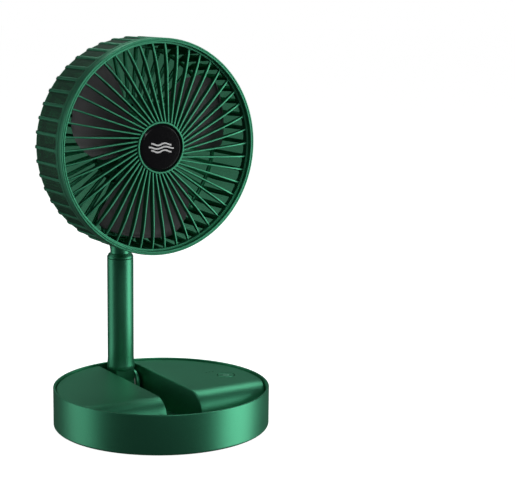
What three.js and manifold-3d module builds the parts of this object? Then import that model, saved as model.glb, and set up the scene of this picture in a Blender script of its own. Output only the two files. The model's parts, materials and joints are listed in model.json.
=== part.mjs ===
// A folding, rechargeable desk fan: a round drum head on a single pole that lies down into the slot of a
// round base. Millimetres, +Z up, origin at the centre of the base's underside; the fan blows towards -Y.
import * as THREE from "three";
import { mergeVertices } from "three/addons/utils/BufferGeometryUtils.js";
import Module from "manifold-3d";

const wasm = await Module();
wasm.setup();

// ---------- driving dimensions ----------
const CLEAR = 0.3; // gap between pieces that touch
const ROUND = 40; // sides of a large round piece
const SMALL = 16; // sides of a small round piece
const TINY = 8; // sides of a screw or a pin hole

const BASE_R = 82.5;
const BASE_H = 31;
const CUP_EDGE = 1.6; // rounding of the cup's lower edge
const PAD_H = 0.8; // how far the feet stand out below the cup
const PAD_R = 6;
const PAD_RECESS = 0.6;
const PAD_RING_R = BASE_R - 20.5;
const CUP_WALL = 1.8;
const CUP_FLOOR = 1.8;

const DECK_DROP = 1.5; // deck surface below the cup's rim
const DECK_GAP = 0.6; // ring gap between deck and cup
const DECK_SKIN = 2;
const SLOT_HALF = 14.5;
const SLOT_FLOOR = 1; // thickness of the slot's floor
const LOBE_FRONT_Y = -37; // upright front face of both lobes
const LOBE_ROLL_R = 16.5; // rounding between the deck and that face

const POLE_R = 10.5;
const POLE_WALL = 2.2;
const FOOT_FLARE = 0.5; // how much wider the foot is than the tube
const FOOT_GAP = 0.5; // between the foot and the cup's wall
const FOLD_GAP = 0.6; // under the folded pole
const FOOT_TOP_Z = 36;
const KNUCKLE_R = 9.2;
const KNUCKLE_HALF = 8.2;
const EAR_R = 12;
const EAR_T = 3;
const WASHER_T = 0.9;
const PIN_R = 2.5;
const TUBE_TOP_Z = 118.5;
const COLLAR_TOP_Z = 122.5;
const NECK_R = 8;

const HEAD_R = 81.5;
const HEAD_Z = 213;
const HEAD_FRONT_Y = 0.5;
const HEAD_DEPTH = 51.5;
const FIN_COUNT = 46;
const FIN_T = 1.1;
const FIN_DEPTH = 5;
const RIM_W = 3;
const RIM_DEPTH = 6;
const HUB_R = 19.6;
const HUB_WALL = 1.4;
const CAGE_WALL = 3;
const CAGE_RIB_W = 2.8;
const CAGE_BAND = 5; // plain band behind the rim, before the slots start
const CAGE_CORNER = 5; // rounding from the drum to the back
const HOOP_R = 74; // hoop that joins the ribs on the back
const HOOP_W = 2.6;
const SLOT_INNER_R = 34; // where the slots of the back end, round the motor
const CAGE_SCREW_AT = 28.5; // radius of the screws that hold the motor cup
const SCREEN_T = 0.6; // dust screen
const SCREEN_LAP = 1; // its overlap with the plain band
const MOTOR_CUP_R = 23;
const MOTOR_CUP_H = 17;
const MOTOR_R = 17;
const MOTOR_H = 12.6;
const SHAFT_R = 1.5;
const IMPELLER_HUB_R = 17;
const BLADE_COUNT = 3;
const FIRST_BLADE = -6.5; // degrees at which the first blade's back edge stands
const TIP_GAP = 5.5; // between the blade tips and the drum
const FRONT_GAP = 3.6; // between the blades and the grille
const BLADE_ROOT_R = 16;
const BLADE_SWEEP = 78; // degrees that one blade covers at its root
const BLADE_RAKE = 24; // degrees by which its front edge falls short of that at the tip
const RAKE_START = 0.45; // share of the blade's length where the front edge begins to fall back
const BLADE_T = 1.6;
const FIN_OFFSET = 7; // every fin is straight and passes the axis at this distance

const BUTTON_R = 6.5;
const BUTTON_AT = [60, 4];
const BUTTON_TRAVEL = 0.8;
const BUTTON_T = 2.4;
const BUTTON_FLANGE = 1.4; // how far the button's hidden flange reaches under the deck
const SWITCH_HALF = 3;
const SWITCH_H = 4.3;
const PLUNGER_H = 1.2;
const LIGHT_AT = [53, 18];
const LIGHT_PITCH = 3;
const LIGHT_R = 0.6;
const SOCKET_X = 34;
const SOCKET_W = 9;
const SOCKET_H = 3.3;
const SOCKET_Z = 12;
const SOCKET_DEPTH = 7;
const SOCKET_WALL = 0.5;
const BOARD_Z = 9.4;
const BOARD_T = 1.6;
const CELL_R = 9.2;
const CELL_LENGTH = 65;
const SCREW_R = 1.2;
const SCREW_HEAD_R = 2.4;
const SCREW_HEAD_H = 1.4;
const SCREW_SINK = 1; // depth of a counterbore
const BOSS_WALL = 2.3;
const REAR_BOSS_INSET = 17.1; // from the cup's inner wall to a rear boss
const SIDE_BOSS_INSET = 11.1; // and to a side boss

// ---------- sizes that follow from them ----------
const CUP_INNER_R = BASE_R - CUP_WALL;
const FLOOR_TOP = PAD_H + CUP_FLOOR;
const DECK_R = CUP_INNER_R - DECK_GAP;
const DECK_Z = BASE_H - DECK_DROP;
const SLOT_Z = FLOOR_TOP + CLEAR + SLOT_FLOOR;
const FOOT_R = POLE_R + FOOT_FLARE;
const POLE_BORE_R = POLE_R - POLE_WALL;
const POLE_Y = CUP_INNER_R - FOOT_GAP - FOOT_R;
const HINGE_Z = SLOT_Z + FOLD_GAP + FOOT_R;
const BLADE_TIP_R = HEAD_R - CAGE_WALL - TIP_GAP;
const HEAD_BACK_Y = HEAD_FRONT_Y + HEAD_DEPTH;
// Folding turns the pole flat and the head face up, centred over the base: the distance from the lower
// hinge to the upper one, less the upper hinge's distance below the fan's axis, is the pole's own offset.
const TILT_DROP = (HEAD_Z - HINGE_Z - POLE_Y) / 2;
const TILT_Z = HEAD_Z - TILT_DROP;

// ---------- helpers ----------
function solid(geometry) {
  const bare = geometry.index ? geometry.toNonIndexed() : geometry.clone();
  for (const name of ["normal", "uv"]) bare.deleteAttribute(name);
  const merged = mergeVertices(bare, 1e-4);
  return new wasm.Manifold(
    new wasm.Mesh({
      numProp: 3,
      vertProperties: merged.attributes.position.array,
      triVerts: new Uint32Array(merged.index.array),
    }),
  );
}

function geometryOf(body) {
  const mesh = body.getMesh();
  const geometry = new THREE.BufferGeometry();
  geometry.setAttribute("position", new THREE.BufferAttribute(mesh.vertProperties, 3));
  geometry.setIndex(new THREE.BufferAttribute(mesh.triVerts, 1));
  return geometry;
}

const join = (bodies) => bodies.reduce((sum, body) => sum.add(body));

// A profile of [radius, height] points turned about Z, from the axis or from a closed outline.
function turned(profile, sides = ROUND) {
  const points = profile.map(([r, z]) => new THREE.Vector2(r, z));
  return solid(new THREE.LatheGeometry(points, sides).rotateX(Math.PI / 2));
}

// A closed ring outline needs its first point again at the end.
const ring = (profile, sides) => turned([...profile, profile[0]], sides);

const tube = (outer, inner, low, high, sides) =>
  ring([[inner, low], [outer, low], [outer, high], [inner, high]], sides);

// A cylinder between two places on the X, Y or Z axis, moved sideways to `at`.
function rod(axis, radius, low, high, at = [0, 0, 0], sides = SMALL) {
  const geometry = new THREE.CylinderGeometry(radius, radius, high - low, sides);
  geometry.translate(0, (low + high) / 2, 0);
  if (axis === "x") geometry.rotateZ(-Math.PI / 2);
  if (axis === "z") geometry.rotateX(Math.PI / 2);
  return solid(geometry.translate(...at));
}

// A block from its lowest to its highest corner.
function block(low, high) {
  const size = high.map((value, i) => value - low[i]);
  const middle = high.map((value, i) => (value + low[i]) / 2);
  return solid(new THREE.BoxGeometry(...size).translate(...middle));
}

// An outline of [y, z] points drawn in the YZ plane and carried along X.
function slabX(outline, low, high) {
  const shape = new THREE.Shape(outline.map(([y, z]) => new THREE.Vector2(y, z)));
  const geometry = new THREE.ExtrudeGeometry(shape, { depth: high - low, bevelEnabled: false });
  // Local x, y and z become Y, Z and X.
  geometry.rotateX(Math.PI / 2).rotateZ(Math.PI / 2);
  return solid(geometry.translate(low, 0, 0));
}

// Points of an arc in degrees, both ends included.
function arc(centre, radius, from, to, steps) {
  return Array.from({ length: steps + 1 }, (_, i) => {
    const angle = THREE.MathUtils.degToRad(from + ((to - from) * i) / steps);
    return [centre[0] + radius * Math.cos(angle), centre[1] + radius * Math.sin(angle)];
  });
}

const turnedBy = (body, degrees) => body.rotate([0, 0, degrees]);

const fan = new THREE.Group();
const paint = (color, roughness, metalness) =>
  new THREE.MeshStandardMaterial({ color, roughness, metalness });
const GREEN = paint(0x2b6b4c, 0.42, 0.55);
const DARK_GREEN = paint(0x12301f, 0.5, 0.3);
const BLACK = paint(0x08090a, 0.15, 0);
const CHARCOAL = paint(0x3a3a3c, 0.5, 0);
const RUBBER = paint(0x151515, 0.9, 0);
const STEEL = paint(0x9a9c9e, 0.35, 0.9);
const NYLON = paint(0xd8d6cf, 0.6, 0);
const BOARD = paint(0x1f5a35, 0.5, 0);
const CELL_WRAP = paint(0x2f5f9e, 0.4, 0);
const LENS = paint(0xdfe8e2, 0.2, 0);

function add(name, body, material, parent = fan) {
  const mesh = new THREE.Mesh(geometryOf(body), material);
  mesh.name = name;
  parent.add(mesh);
}

// ---------- base: cup, feet, deck ----------
const padPlaces = [45, 135, 225, 315].map((degrees) => {
  const angle = THREE.MathUtils.degToRad(degrees);
  return [PAD_RING_R * Math.cos(angle), PAD_RING_R * Math.sin(angle)];
});
const deckScrewPlaces = [
  [62, REAR_BOSS_INSET],
  [118, REAR_BOSS_INSET],
  [-18.5, SIDE_BOSS_INSET],
  [198.5, SIDE_BOSS_INSET],
].map(([degrees, inset]) => {
  const angle = THREE.MathUtils.degToRad(degrees);
  return [(CUP_INNER_R - inset) * Math.cos(angle), (CUP_INNER_R - inset) * Math.sin(angle)];
});
const hingeScrewPlaces = [[0, POLE_Y - POLE_R / 2], [0, POLE_Y + POLE_R / 2]];
// The socket's mouth lies just inside the cup's wall.
const socketMouthY = Math.sqrt(CUP_INNER_R ** 2 - SOCKET_X ** 2) + CLEAR;
const socketWindow = block(
  [SOCKET_X - SOCKET_W / 2 - CLEAR, socketMouthY - 2 * SOCKET_DEPTH, SOCKET_Z - SOCKET_H / 2 - CLEAR],
  [SOCKET_X + SOCKET_W / 2 + CLEAR, BASE_R, SOCKET_Z + SOCKET_H / 2 + CLEAR],
);

let cup = turned([
  [0, PAD_H],
  [BASE_R - CUP_EDGE, PAD_H],
  [BASE_R - CUP_EDGE * 0.3, PAD_H + CUP_EDGE * 0.3],
  [BASE_R, PAD_H + CUP_EDGE],
  [BASE_R, BASE_H],
  [CUP_INNER_R, BASE_H],
  [CUP_INNER_R, FLOOR_TOP],
  [0, FLOOR_TOP],
]);
for (const [x, y] of padPlaces)
  cup = cup.subtract(rod("z", PAD_R + CLEAR, 0, PAD_H + PAD_RECESS, [x, y, 0]));
for (const [x, y] of [...deckScrewPlaces, ...hingeScrewPlaces]) {
  cup = cup.subtract(rod("z", SCREW_HEAD_R + CLEAR, 0, PAD_H + SCREW_SINK, [x, y, 0], TINY));
  cup = cup.subtract(rod("z", SCREW_R + CLEAR, PAD_H, FLOOR_TOP + 1, [x, y, 0], TINY));
}
add("base_cup", cup.subtract(socketWindow), GREEN);

padPlaces.forEach(([x, y], i) =>
  add(`foot_pad_${i + 1}`, rod("z", PAD_R, 0, PAD_H + PAD_RECESS - CLEAR, [x, y, 0]), RUBBER),
);

// Each lobe is a hollow shell, open below; a floor joins the two under the slot and the front well.
const rollY = LOBE_FRONT_Y + LOBE_ROLL_R;
const lobeOutline = (inset, low) => [
  [LOBE_FRONT_Y + inset, low],
  [BASE_R, low],
  [BASE_R, DECK_Z - inset],
  ...arc([rollY, DECK_Z - LOBE_ROLL_R], LOBE_ROLL_R - inset, 90, 180, 8),
];
const drum = (radius) => rod("z", radius, FLOOR_TOP + CLEAR - 1, BASE_H + 1, [0, 0, 0], ROUND);
const bossR = SCREW_R + BOSS_WALL;
let deck = block([-BASE_R, -BASE_R, FLOOR_TOP + CLEAR], [BASE_R, BASE_R, SLOT_Z]);
deck = deck.intersect(drum(DECK_R));
for (const side of [-1, 1]) {
  const spans = (inset) => [SLOT_HALF + inset, BASE_R].map((x) => side * x).sort((a, b) => a - b);
  const outer = slabX(lobeOutline(0, FLOOR_TOP + CLEAR), ...spans(0)).intersect(drum(DECK_R));
  const cavity = slabX(lobeOutline(DECK_SKIN, FLOOR_TOP), ...spans(DECK_SKIN));
  deck = deck.add(outer).subtract(cavity.intersect(drum(DECK_R - DECK_SKIN)));
}
for (const [x, y] of deckScrewPlaces) {
  deck = deck.add(rod("z", bossR, FLOOR_TOP + CLEAR, DECK_Z - DECK_SKIN / 2, [x, y, 0], TINY));
  deck = deck.subtract(rod("z", SCREW_R + CLEAR, 0, FLOOR_TOP + 9, [x, y, 0], TINY));
}
for (const [x, y] of hingeScrewPlaces)
  deck = deck.subtract(rod("z", SCREW_R + CLEAR, 0, SLOT_Z + 1, [x, y, 0], TINY));
deck = deck.subtract(
  rod("z", BUTTON_R + CLEAR, DECK_Z - 5, BASE_H, [...BUTTON_AT, 0]),
);
const lightPlaces = [-1, 0, 1].map((i) => [LIGHT_AT[0] + i * LIGHT_PITCH, LIGHT_AT[1]]);
for (const [x, y] of lightPlaces)
  deck = deck.subtract(rod("z", LIGHT_R + CLEAR, DECK_Z - 5, BASE_H, [x, y, 0], TINY));
add("deck", deck.subtract(socketWindow), GREEN);

// ---------- electrics in the lobes ----------
const boardLow = [24, -16];
const boardHigh = [68, 44];
let board = block([...boardLow, BOARD_Z - BOARD_T], [...boardHigh, BOARD_Z]);
board = board.add(block([24, 40, BOARD_Z - BOARD_T], [46, 66, BOARD_Z]));
board = board
  .intersect(drum(DECK_R - DECK_SKIN - CLEAR))
  .subtract(rod("z", bossR + CLEAR, 0, BASE_H, [...deckScrewPlaces[0], 0]));
add("circuit_board", board, BOARD);

const buttonLow = DECK_Z - BUTTON_T;
const flangeTop = DECK_Z - DECK_SKIN - CLEAR;
const stemR = 1.8;
const buttonCentre = [...BUTTON_AT, 0];
const switchTop = BOARD_Z + CLEAR + SWITCH_H;
const stemLow = switchTop + PLUNGER_H + BUTTON_TRAVEL + CLEAR;
const button = join([
  rod("z", BUTTON_R, buttonLow, DECK_Z + 0.1, buttonCentre),
  rod("z", BUTTON_R + BUTTON_FLANGE, buttonLow - 1.6, flangeTop, buttonCentre),
  rod("z", stemR, stemLow, buttonLow, buttonCentre, 12),
]);
add("power_button", button, GREEN);
const [buttonX, buttonY] = BUTTON_AT;
const switchBody = block(
  [buttonX - SWITCH_HALF, buttonY - SWITCH_HALF, BOARD_Z + CLEAR],
  [buttonX + SWITCH_HALF, buttonY + SWITCH_HALF, switchTop],
);
const plunger = rod("z", stemR - 0.2, switchTop - 0.5, switchTop + PLUNGER_H, buttonCentre, 12);
add("power_switch", switchBody.add(plunger), BLACK);
const lightBarTop = DECK_Z - DECK_SKIN - CLEAR;
let lights = block(
  [LIGHT_AT[0] - LIGHT_PITCH - 1.5, LIGHT_AT[1] - 1.5, lightBarTop - 2],
  [LIGHT_AT[0] + LIGHT_PITCH + 1.5, LIGHT_AT[1] + 1.5, lightBarTop],
);
for (const [x, y] of lightPlaces)
  lights = lights.add(rod("z", LIGHT_R, lightBarTop - 1, DECK_Z - 0.1, [x, y, 0], TINY));
add("light_guide", lights, LENS);

const socketShape = (inset, low, high) =>
  block(
    [SOCKET_X - SOCKET_W / 2 + inset, low, SOCKET_Z - SOCKET_H / 2 + inset],
    [SOCKET_X + SOCKET_W / 2 - inset, high, SOCKET_Z + SOCKET_H / 2 - inset],
  );
const socketBackY = socketMouthY - SOCKET_DEPTH;
const socketHollow = socketShape(SOCKET_WALL, socketBackY + 3 * SOCKET_WALL, BASE_R);
add("usb_socket", socketShape(0, socketBackY, socketMouthY).subtract(socketHollow), STEEL);
const cellX = -(SLOT_HALF + DECK_SKIN + CLEAR + 8 + CELL_R);
const cellZ = FLOOR_TOP + CLEAR + CELL_R + 1.2;
const cellLow = -18;
add(
  "battery_cell",
  rod("y", CELL_R, cellLow, cellLow + CELL_LENGTH, [cellX, 0, cellZ], 24),
  CELL_WRAP,
);
add(
  "battery_cradle",
  block(
    [cellX - CELL_R - 2, cellLow - 2, FLOOR_TOP + CLEAR],
    [cellX + CELL_R + 2, cellLow + CELL_LENGTH + 2, cellZ - 3],
  ).subtract(
    rod("y", CELL_R + CLEAR, cellLow - CLEAR, cellLow + CELL_LENGTH + CLEAR, [cellX, 0, cellZ], 24),
  ),
  BLACK,
);

// ---------- lower hinge ----------
const pinBore = (y, z) => rod("x", PIN_R + CLEAR, -BASE_R, BASE_R, [0, y, z]);
const earInner = KNUCKLE_HALF + CLEAR + WASHER_T + CLEAR;
const bracketLow = SLOT_Z + CLEAR;
const bracketTop = HINGE_Z - KNUCKLE_R - 0.7;
const ear = (low) =>
  rod("x", EAR_R, low, low + EAR_T, [0, POLE_Y, HINGE_Z], ROUND / 2).add(
    block([low, POLE_Y - EAR_R * 0.8, bracketLow], [low + EAR_T, POLE_Y + EAR_R * 0.8, HINGE_Z]),
  );
const earLow = [-earInner - EAR_T, earInner];
let bracket = join([
  ...earLow.map(ear),
  block(
    [-earInner - EAR_T, POLE_Y - EAR_R * 0.8, bracketLow],
    [earInner + EAR_T, POLE_Y + EAR_R * 0.8, bracketTop],
  ),
]);
bracket = bracket
  .intersect(rod("z", CUP_INNER_R - DECK_GAP, bracketLow, BASE_H, [0, 0, 0], ROUND * 2))
  .subtract(pinBore(POLE_Y, HINGE_Z));
for (const [x, y] of hingeScrewPlaces)
  bracket = bracket.subtract(rod("z", SCREW_R + CLEAR, 0, bracketTop - 0.5, [x, y, 0], TINY));
add("hinge_bracket", bracket, DARK_GREEN);
add("hinge_pin", rod("x", PIN_R, -earInner - EAR_T, earInner + EAR_T, [0, POLE_Y, HINGE_Z]), STEEL);

const washer = (side, y, z) => {
  const low = side > 0 ? KNUCKLE_HALF + CLEAR : -KNUCKLE_HALF - CLEAR - WASHER_T;
  return rod("x", KNUCKLE_R - 2, low, low + WASHER_T, [0, y, z], 24).subtract(
    rod("x", PIN_R + CLEAR, low - 1, low + WASHER_T + 1, [0, y, z]),
  );
};
add("hinge_washer_left", washer(-1, POLE_Y, HINGE_Z), NYLON);
add("hinge_washer_right", washer(1, POLE_Y, HINGE_Z), NYLON);

// A countersunk screw driven up from below.
const screwUp = (x, y, top) =>
  rod("z", SCREW_HEAD_R, PAD_H + 1 - CLEAR - SCREW_HEAD_H / 2, PAD_H + 1 - CLEAR, [x, y, 0], TINY).add(
    rod("z", SCREW_R, PAD_H + 0.5, top, [x, y, 0], TINY),
  );
deckScrewPlaces.forEach(([x, y], i) =>
  add(`deck_screw_${i + 1}`, screwUp(x, y, FLOOR_TOP + 8), STEEL),
);
hingeScrewPlaces.forEach(([x, y], i) =>
  add(`hinge_screw_${i + 1}`, screwUp(x, y, bracketTop - 0.5 - CLEAR), STEEL),
);

// ---------- pole ----------
const skirtLow = HINGE_Z + EAR_R + 0.5;
const tubeLow = FOOT_TOP_Z - 6;
let foot = join([
  rod("x", KNUCKLE_R, -KNUCKLE_HALF, KNUCKLE_HALF, [0, POLE_Y, HINGE_Z], ROUND / 2),
  block([-KNUCKLE_HALF, POLE_Y - 8.5, HINGE_Z], [KNUCKLE_HALF, POLE_Y + 8.5, skirtLow + 1]),
  turned([
    [0, skirtLow],
    [FOOT_R, skirtLow],
    [FOOT_R, FOOT_TOP_Z - 3],
    [POLE_R + 0.1, FOOT_TOP_Z - CLEAR],
    [0, FOOT_TOP_Z - CLEAR],
  ]).translate([0, POLE_Y, 0]),
]);
foot = foot
  .subtract(pinBore(POLE_Y, HINGE_Z))
  .add(rod("z", POLE_BORE_R - CLEAR, FOOT_TOP_Z - 1, FOOT_TOP_Z + 8, [0, POLE_Y, 0], ROUND / 2))
  .subtract(rod("z", 2, HINGE_Z + PIN_R + CLEAR + 2, FOOT_TOP_Z + 9, [0, POLE_Y, 0], 10));
add("pole_foot", foot, GREEN);
add(
  "pole_tube",
  tube(POLE_R, POLE_BORE_R, FOOT_TOP_Z, TUBE_TOP_Z, ROUND / 2 + 8).translate([0, POLE_Y, 0]),
  GREEN,
);
const neckSpigotR = NECK_R - 1.2;
const spigotLow = TUBE_TOP_Z - 10;
add(
  "pole_collar",
  ring(
    [
      [neckSpigotR + CLEAR, TUBE_TOP_Z - 6],
      [POLE_BORE_R - CLEAR, TUBE_TOP_Z - 6],
      [POLE_BORE_R - CLEAR, TUBE_TOP_Z + CLEAR],
      [POLE_R, TUBE_TOP_Z + CLEAR],
      [POLE_R, TUBE_TOP_Z + 2],
      [NECK_R + 1, COLLAR_TOP_Z],
      [neckSpigotR + CLEAR, COLLAR_TOP_Z],
    ],
    ROUND / 2 + 8,
  ).translate([0, POLE_Y, 0]),
  GREEN,
);

// The neck widens into a fork whose two ears hold the head's knuckle.
const forkHalf = earInner + EAR_T;
const forkEarR = 9;
const forkFloorTop = TILT_Z - KNUCKLE_R - 1;
let neck = join([
  rod("z", neckSpigotR, spigotLow, COLLAR_TOP_Z + 2, [0, POLE_Y, 0], ROUND / 2),
  turned([
    [0, COLLAR_TOP_Z + CLEAR],
    [NECK_R, COLLAR_TOP_Z + CLEAR],
    [NECK_R, COLLAR_TOP_Z + 4],
    [forkEarR, forkFloorTop - 5],
    [forkEarR, forkFloorTop],
    [0, forkFloorTop],
  ], ROUND / 2).translate([0, POLE_Y, 0]),
  block(
    [-forkHalf, POLE_Y - forkEarR * 0.8, forkFloorTop - 4],
    [forkHalf, POLE_Y + forkEarR * 0.8, forkFloorTop],
  ),
]);
for (const low of earLow)
  neck = neck
    .add(rod("x", forkEarR, low, low + EAR_T, [0, POLE_Y, TILT_Z], ROUND / 2))
    .add(
      block(
        [low, POLE_Y - forkEarR * 0.8, forkFloorTop - 4],
        [low + EAR_T, POLE_Y + forkEarR * 0.8, TILT_Z],
      ),
    );
neck = neck
  .subtract(pinBore(POLE_Y, TILT_Z))
  .subtract(rod("z", 2, spigotLow - 1, forkFloorTop + 1, [0, POLE_Y, 0], 10));
add("neck_fork", neck, GREEN);
add("tilt_pin", rod("x", PIN_R, -forkHalf, forkHalf, [0, POLE_Y, TILT_Z]), STEEL);
add("tilt_washer_left", washer(-1, POLE_Y, TILT_Z), NYLON);
add("tilt_washer_right", washer(1, POLE_Y, TILT_Z), NYLON);
add(
  "pole_wire",
  rod("z", 1.2, HINGE_Z + PIN_R + CLEAR + 2.6, forkFloorTop - 1, [0, POLE_Y, 0], 8),
  RUBBER,
);

// ---------- head: a group whose Z runs along the fan's axis from the back towards the front ----------
const head = new THREE.Group();
head.position.set(0, HEAD_BACK_Y, HEAD_Z);
head.rotation.x = Math.PI / 2;
fan.add(head);

const finPitch = 360 / FIN_COUNT;
const rimLow = HEAD_DEPTH - RIM_DEPTH;
const cageTop = rimLow - CLEAR;

// Barrel and back in one moulding, then a slot between every two ribs: along the barrel, round the
// corner to the hoop, and on across the back towards the motor cup.
const back = CAGE_WALL;
let cage = ring(
  [
    [MOTOR_CUP_R, 0],
    [HEAD_R - CAGE_CORNER, 0],
    [HEAD_R, CAGE_CORNER],
    [HEAD_R, cageTop],
    [HEAD_R - CAGE_WALL, cageTop],
    [HEAD_R - CAGE_WALL, back],
    [MOTOR_CUP_R, back],
  ],
  FIN_COUNT,
);
const slotHalfAt = (radius) => (Math.PI * radius) / FIN_COUNT - CAGE_RIB_W / 2;
const slotTop = cageTop - CAGE_BAND;
const slotR = slotHalfAt(HEAD_R);
const wedge = (inner, outer, low, high) => {
  const shape = new THREE.Shape([
    new THREE.Vector2(inner, -slotHalfAt(inner)),
    new THREE.Vector2(outer, -slotHalfAt(outer)),
    new THREE.Vector2(outer, slotHalfAt(outer)),
    new THREE.Vector2(inner, slotHalfAt(inner)),
  ]);
  const geometry = new THREE.ExtrudeGeometry(shape, { depth: high - low, bevelEnabled: false });
  return solid(geometry.translate(0, 0, low));
};
const slotCutter = join([
  wedge(HOOP_R + HOOP_W / 2, HEAD_R + 2, -1, back + 3),
  slabX(
    [
      [-slotR, -1],
      [slotR, -1],
      [slotR, slotTop - slotR * 0.7],
      [slotR * 0.5, slotTop],
      [-slotR * 0.5, slotTop],
      [-slotR, slotTop - slotR * 0.7],
    ],
    HEAD_R - CAGE_WALL - 1,
    HEAD_R + 2,
  ),
  wedge(SLOT_INNER_R, HOOP_R - HOOP_W / 2, -1, back + 1),
]);
cage = cage.subtract(
  wasm.Manifold.union(
    Array.from({ length: FIN_COUNT }, (_, i) => turnedBy(slotCutter, (i + 0.5) * finPitch)),
  ),
);
const cageScrewPlaces = [90, 210, 330].map((degrees) => {
  const angle = THREE.MathUtils.degToRad(degrees);
  return [CAGE_SCREW_AT * Math.cos(angle), CAGE_SCREW_AT * Math.sin(angle)];
});
const mountScrewPlaces = [[-9, -TILT_DROP + 16], [9, -TILT_DROP + 16]];
const mountPlateHalf = [14, 8];
cage = cage.add(
  block(
    [-mountPlateHalf[0] - 2, mountScrewPlaces[0][1] - mountPlateHalf[1] - 2, 0],
    [mountPlateHalf[0] + 2, mountScrewPlaces[0][1] + mountPlateHalf[1] + 2, back],
  ),
);
for (const [x, y] of [...cageScrewPlaces, ...mountScrewPlaces])
  cage = cage.subtract(rod("z", SCREW_R + CLEAR, -1, back + 1, [x, y, 0], TINY));
add("rear_cage", cage, GREEN, head);

// Dust screen: a thin drum of fine woven net, here without its holes, that lines the ribs.
const cupFlangeR = SLOT_INNER_R - 1;
const screenR = HEAD_R - CAGE_WALL - CLEAR;
const screenLow = back + CLEAR;
add(
  "dust_screen",
  ring(
    [
      [cupFlangeR + CLEAR, screenLow],
      [screenR, screenLow],
      [screenR, slotTop + SCREEN_LAP],
      [screenR - SCREEN_T, slotTop + SCREEN_LAP],
      [screenR - SCREEN_T, screenLow + SCREEN_T],
      [cupFlangeR + CLEAR, screenLow + SCREEN_T],
    ],
    FIN_COUNT,
  ),
  GREEN,
  head,
);

// Front grille: rim, hub ring and fins in one moulding. The fins are straight, but all of them pass
// the axis on the same side, so they seem to curl into the hub.
const finOuterR = HEAD_R - RIM_W + 0.6;
const finInnerR = HUB_R - 0.6;
const finTop = HEAD_DEPTH - 0.8;
const finEnd = (radius) => Math.sqrt(radius ** 2 - FIN_OFFSET ** 2);
const fin = turnedBy(
  block(
    [finEnd(finInnerR), -FIN_OFFSET - FIN_T / 2, finTop - FIN_DEPTH],
    [finEnd(finOuterR), -FIN_OFFSET + FIN_T / 2, finTop],
  ),
  THREE.MathUtils.radToDeg(Math.asin(FIN_OFFSET / finOuterR)),
);
const rim = ring(
  [
    [HEAD_R - RIM_W, rimLow],
    [HEAD_R, rimLow],
    [HEAD_R, HEAD_DEPTH - 0.8],
    [HEAD_R - 0.8, HEAD_DEPTH],
    [HEAD_R - RIM_W, HEAD_DEPTH],
  ],
  FIN_COUNT,
);
const hubLow = finTop - FIN_DEPTH;
const hubFloorTop = hubLow + 1.5;
const hub = turned(
  [
    [0, hubLow],
    [HUB_R, hubLow],
    [HUB_R, HEAD_DEPTH],
    [HUB_R - HUB_WALL, HEAD_DEPTH],
    [HUB_R - HUB_WALL, hubFloorTop],
    [0, hubFloorTop],
  ],
  ROUND,
);
const fins = Array.from({ length: FIN_COUNT }, (_, i) => turnedBy(fin, i * finPitch));
add("front_grille", wasm.Manifold.union([rim, hub, ...fins]), GREEN, head);

const capR = HUB_R - HUB_WALL - CLEAR;
add(
  "front_cap",
  turned([
    [0, hubFloorTop + CLEAR],
    [capR, hubFloorTop + CLEAR],
    [capR, HEAD_DEPTH - 0.6],
    [capR - 1.8, HEAD_DEPTH],
    [0, HEAD_DEPTH],
  ]),
  BLACK,
  head,
);

// Motor cup: a dish that closes the middle of the back, with a flange screwed to the cage.
let motorCup = ring(
  [
    [MOTOR_R + CLEAR, back + CLEAR],
    [cupFlangeR, back + CLEAR],
    [cupFlangeR, back + CLEAR + 1.5],
    [MOTOR_CUP_R, back + CLEAR + 1.5],
    [MOTOR_CUP_R, MOTOR_CUP_H],
    [SHAFT_R + 4, MOTOR_CUP_H],
    [SHAFT_R + 4, MOTOR_CUP_H - 1.8],
    [MOTOR_R + CLEAR, MOTOR_CUP_H - 1.8],
  ],
  ROUND,
);
for (const [x, y] of cageScrewPlaces)
  motorCup = motorCup.subtract(rod("z", SCREW_R + CLEAR, 0, back + 4, [x, y, 0], TINY));
add("motor_cup", motorCup, GREEN, head);
const motorLow = MOTOR_CUP_H - 1.8 - CLEAR - MOTOR_H;
add(
  "motor",
  rod("z", MOTOR_R, motorLow, MOTOR_CUP_H - 1.8 - CLEAR, [0, 0, 0], ROUND / 2).subtract(
    rod("z", SHAFT_R + CLEAR, motorLow + 3, MOTOR_CUP_H, [0, 0, 0], 12),
  ),
  STEEL,
  head,
);
const backCapR = MOTOR_CUP_R - CLEAR;
add(
  "motor_cover",
  turned([
    [0, 0],
    [backCapR - 1, 0],
    [backCapR, 1],
    [backCapR, motorLow - CLEAR],
    [0, motorLow - CLEAR],
  ]),
  GREEN,
  head,
);
cageScrewPlaces.forEach(([x, y], i) =>
  add(
    `cage_screw_${i + 1}`,
    rod("z", SCREW_HEAD_R, -SCREW_HEAD_H, -CLEAR, [x, y, 0], TINY).add(
      rod("z", SCREW_R, -1, back + CLEAR + 1.5, [x, y, 0], TINY),
    ),
    STEEL,
    head,
  ),
);

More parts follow.
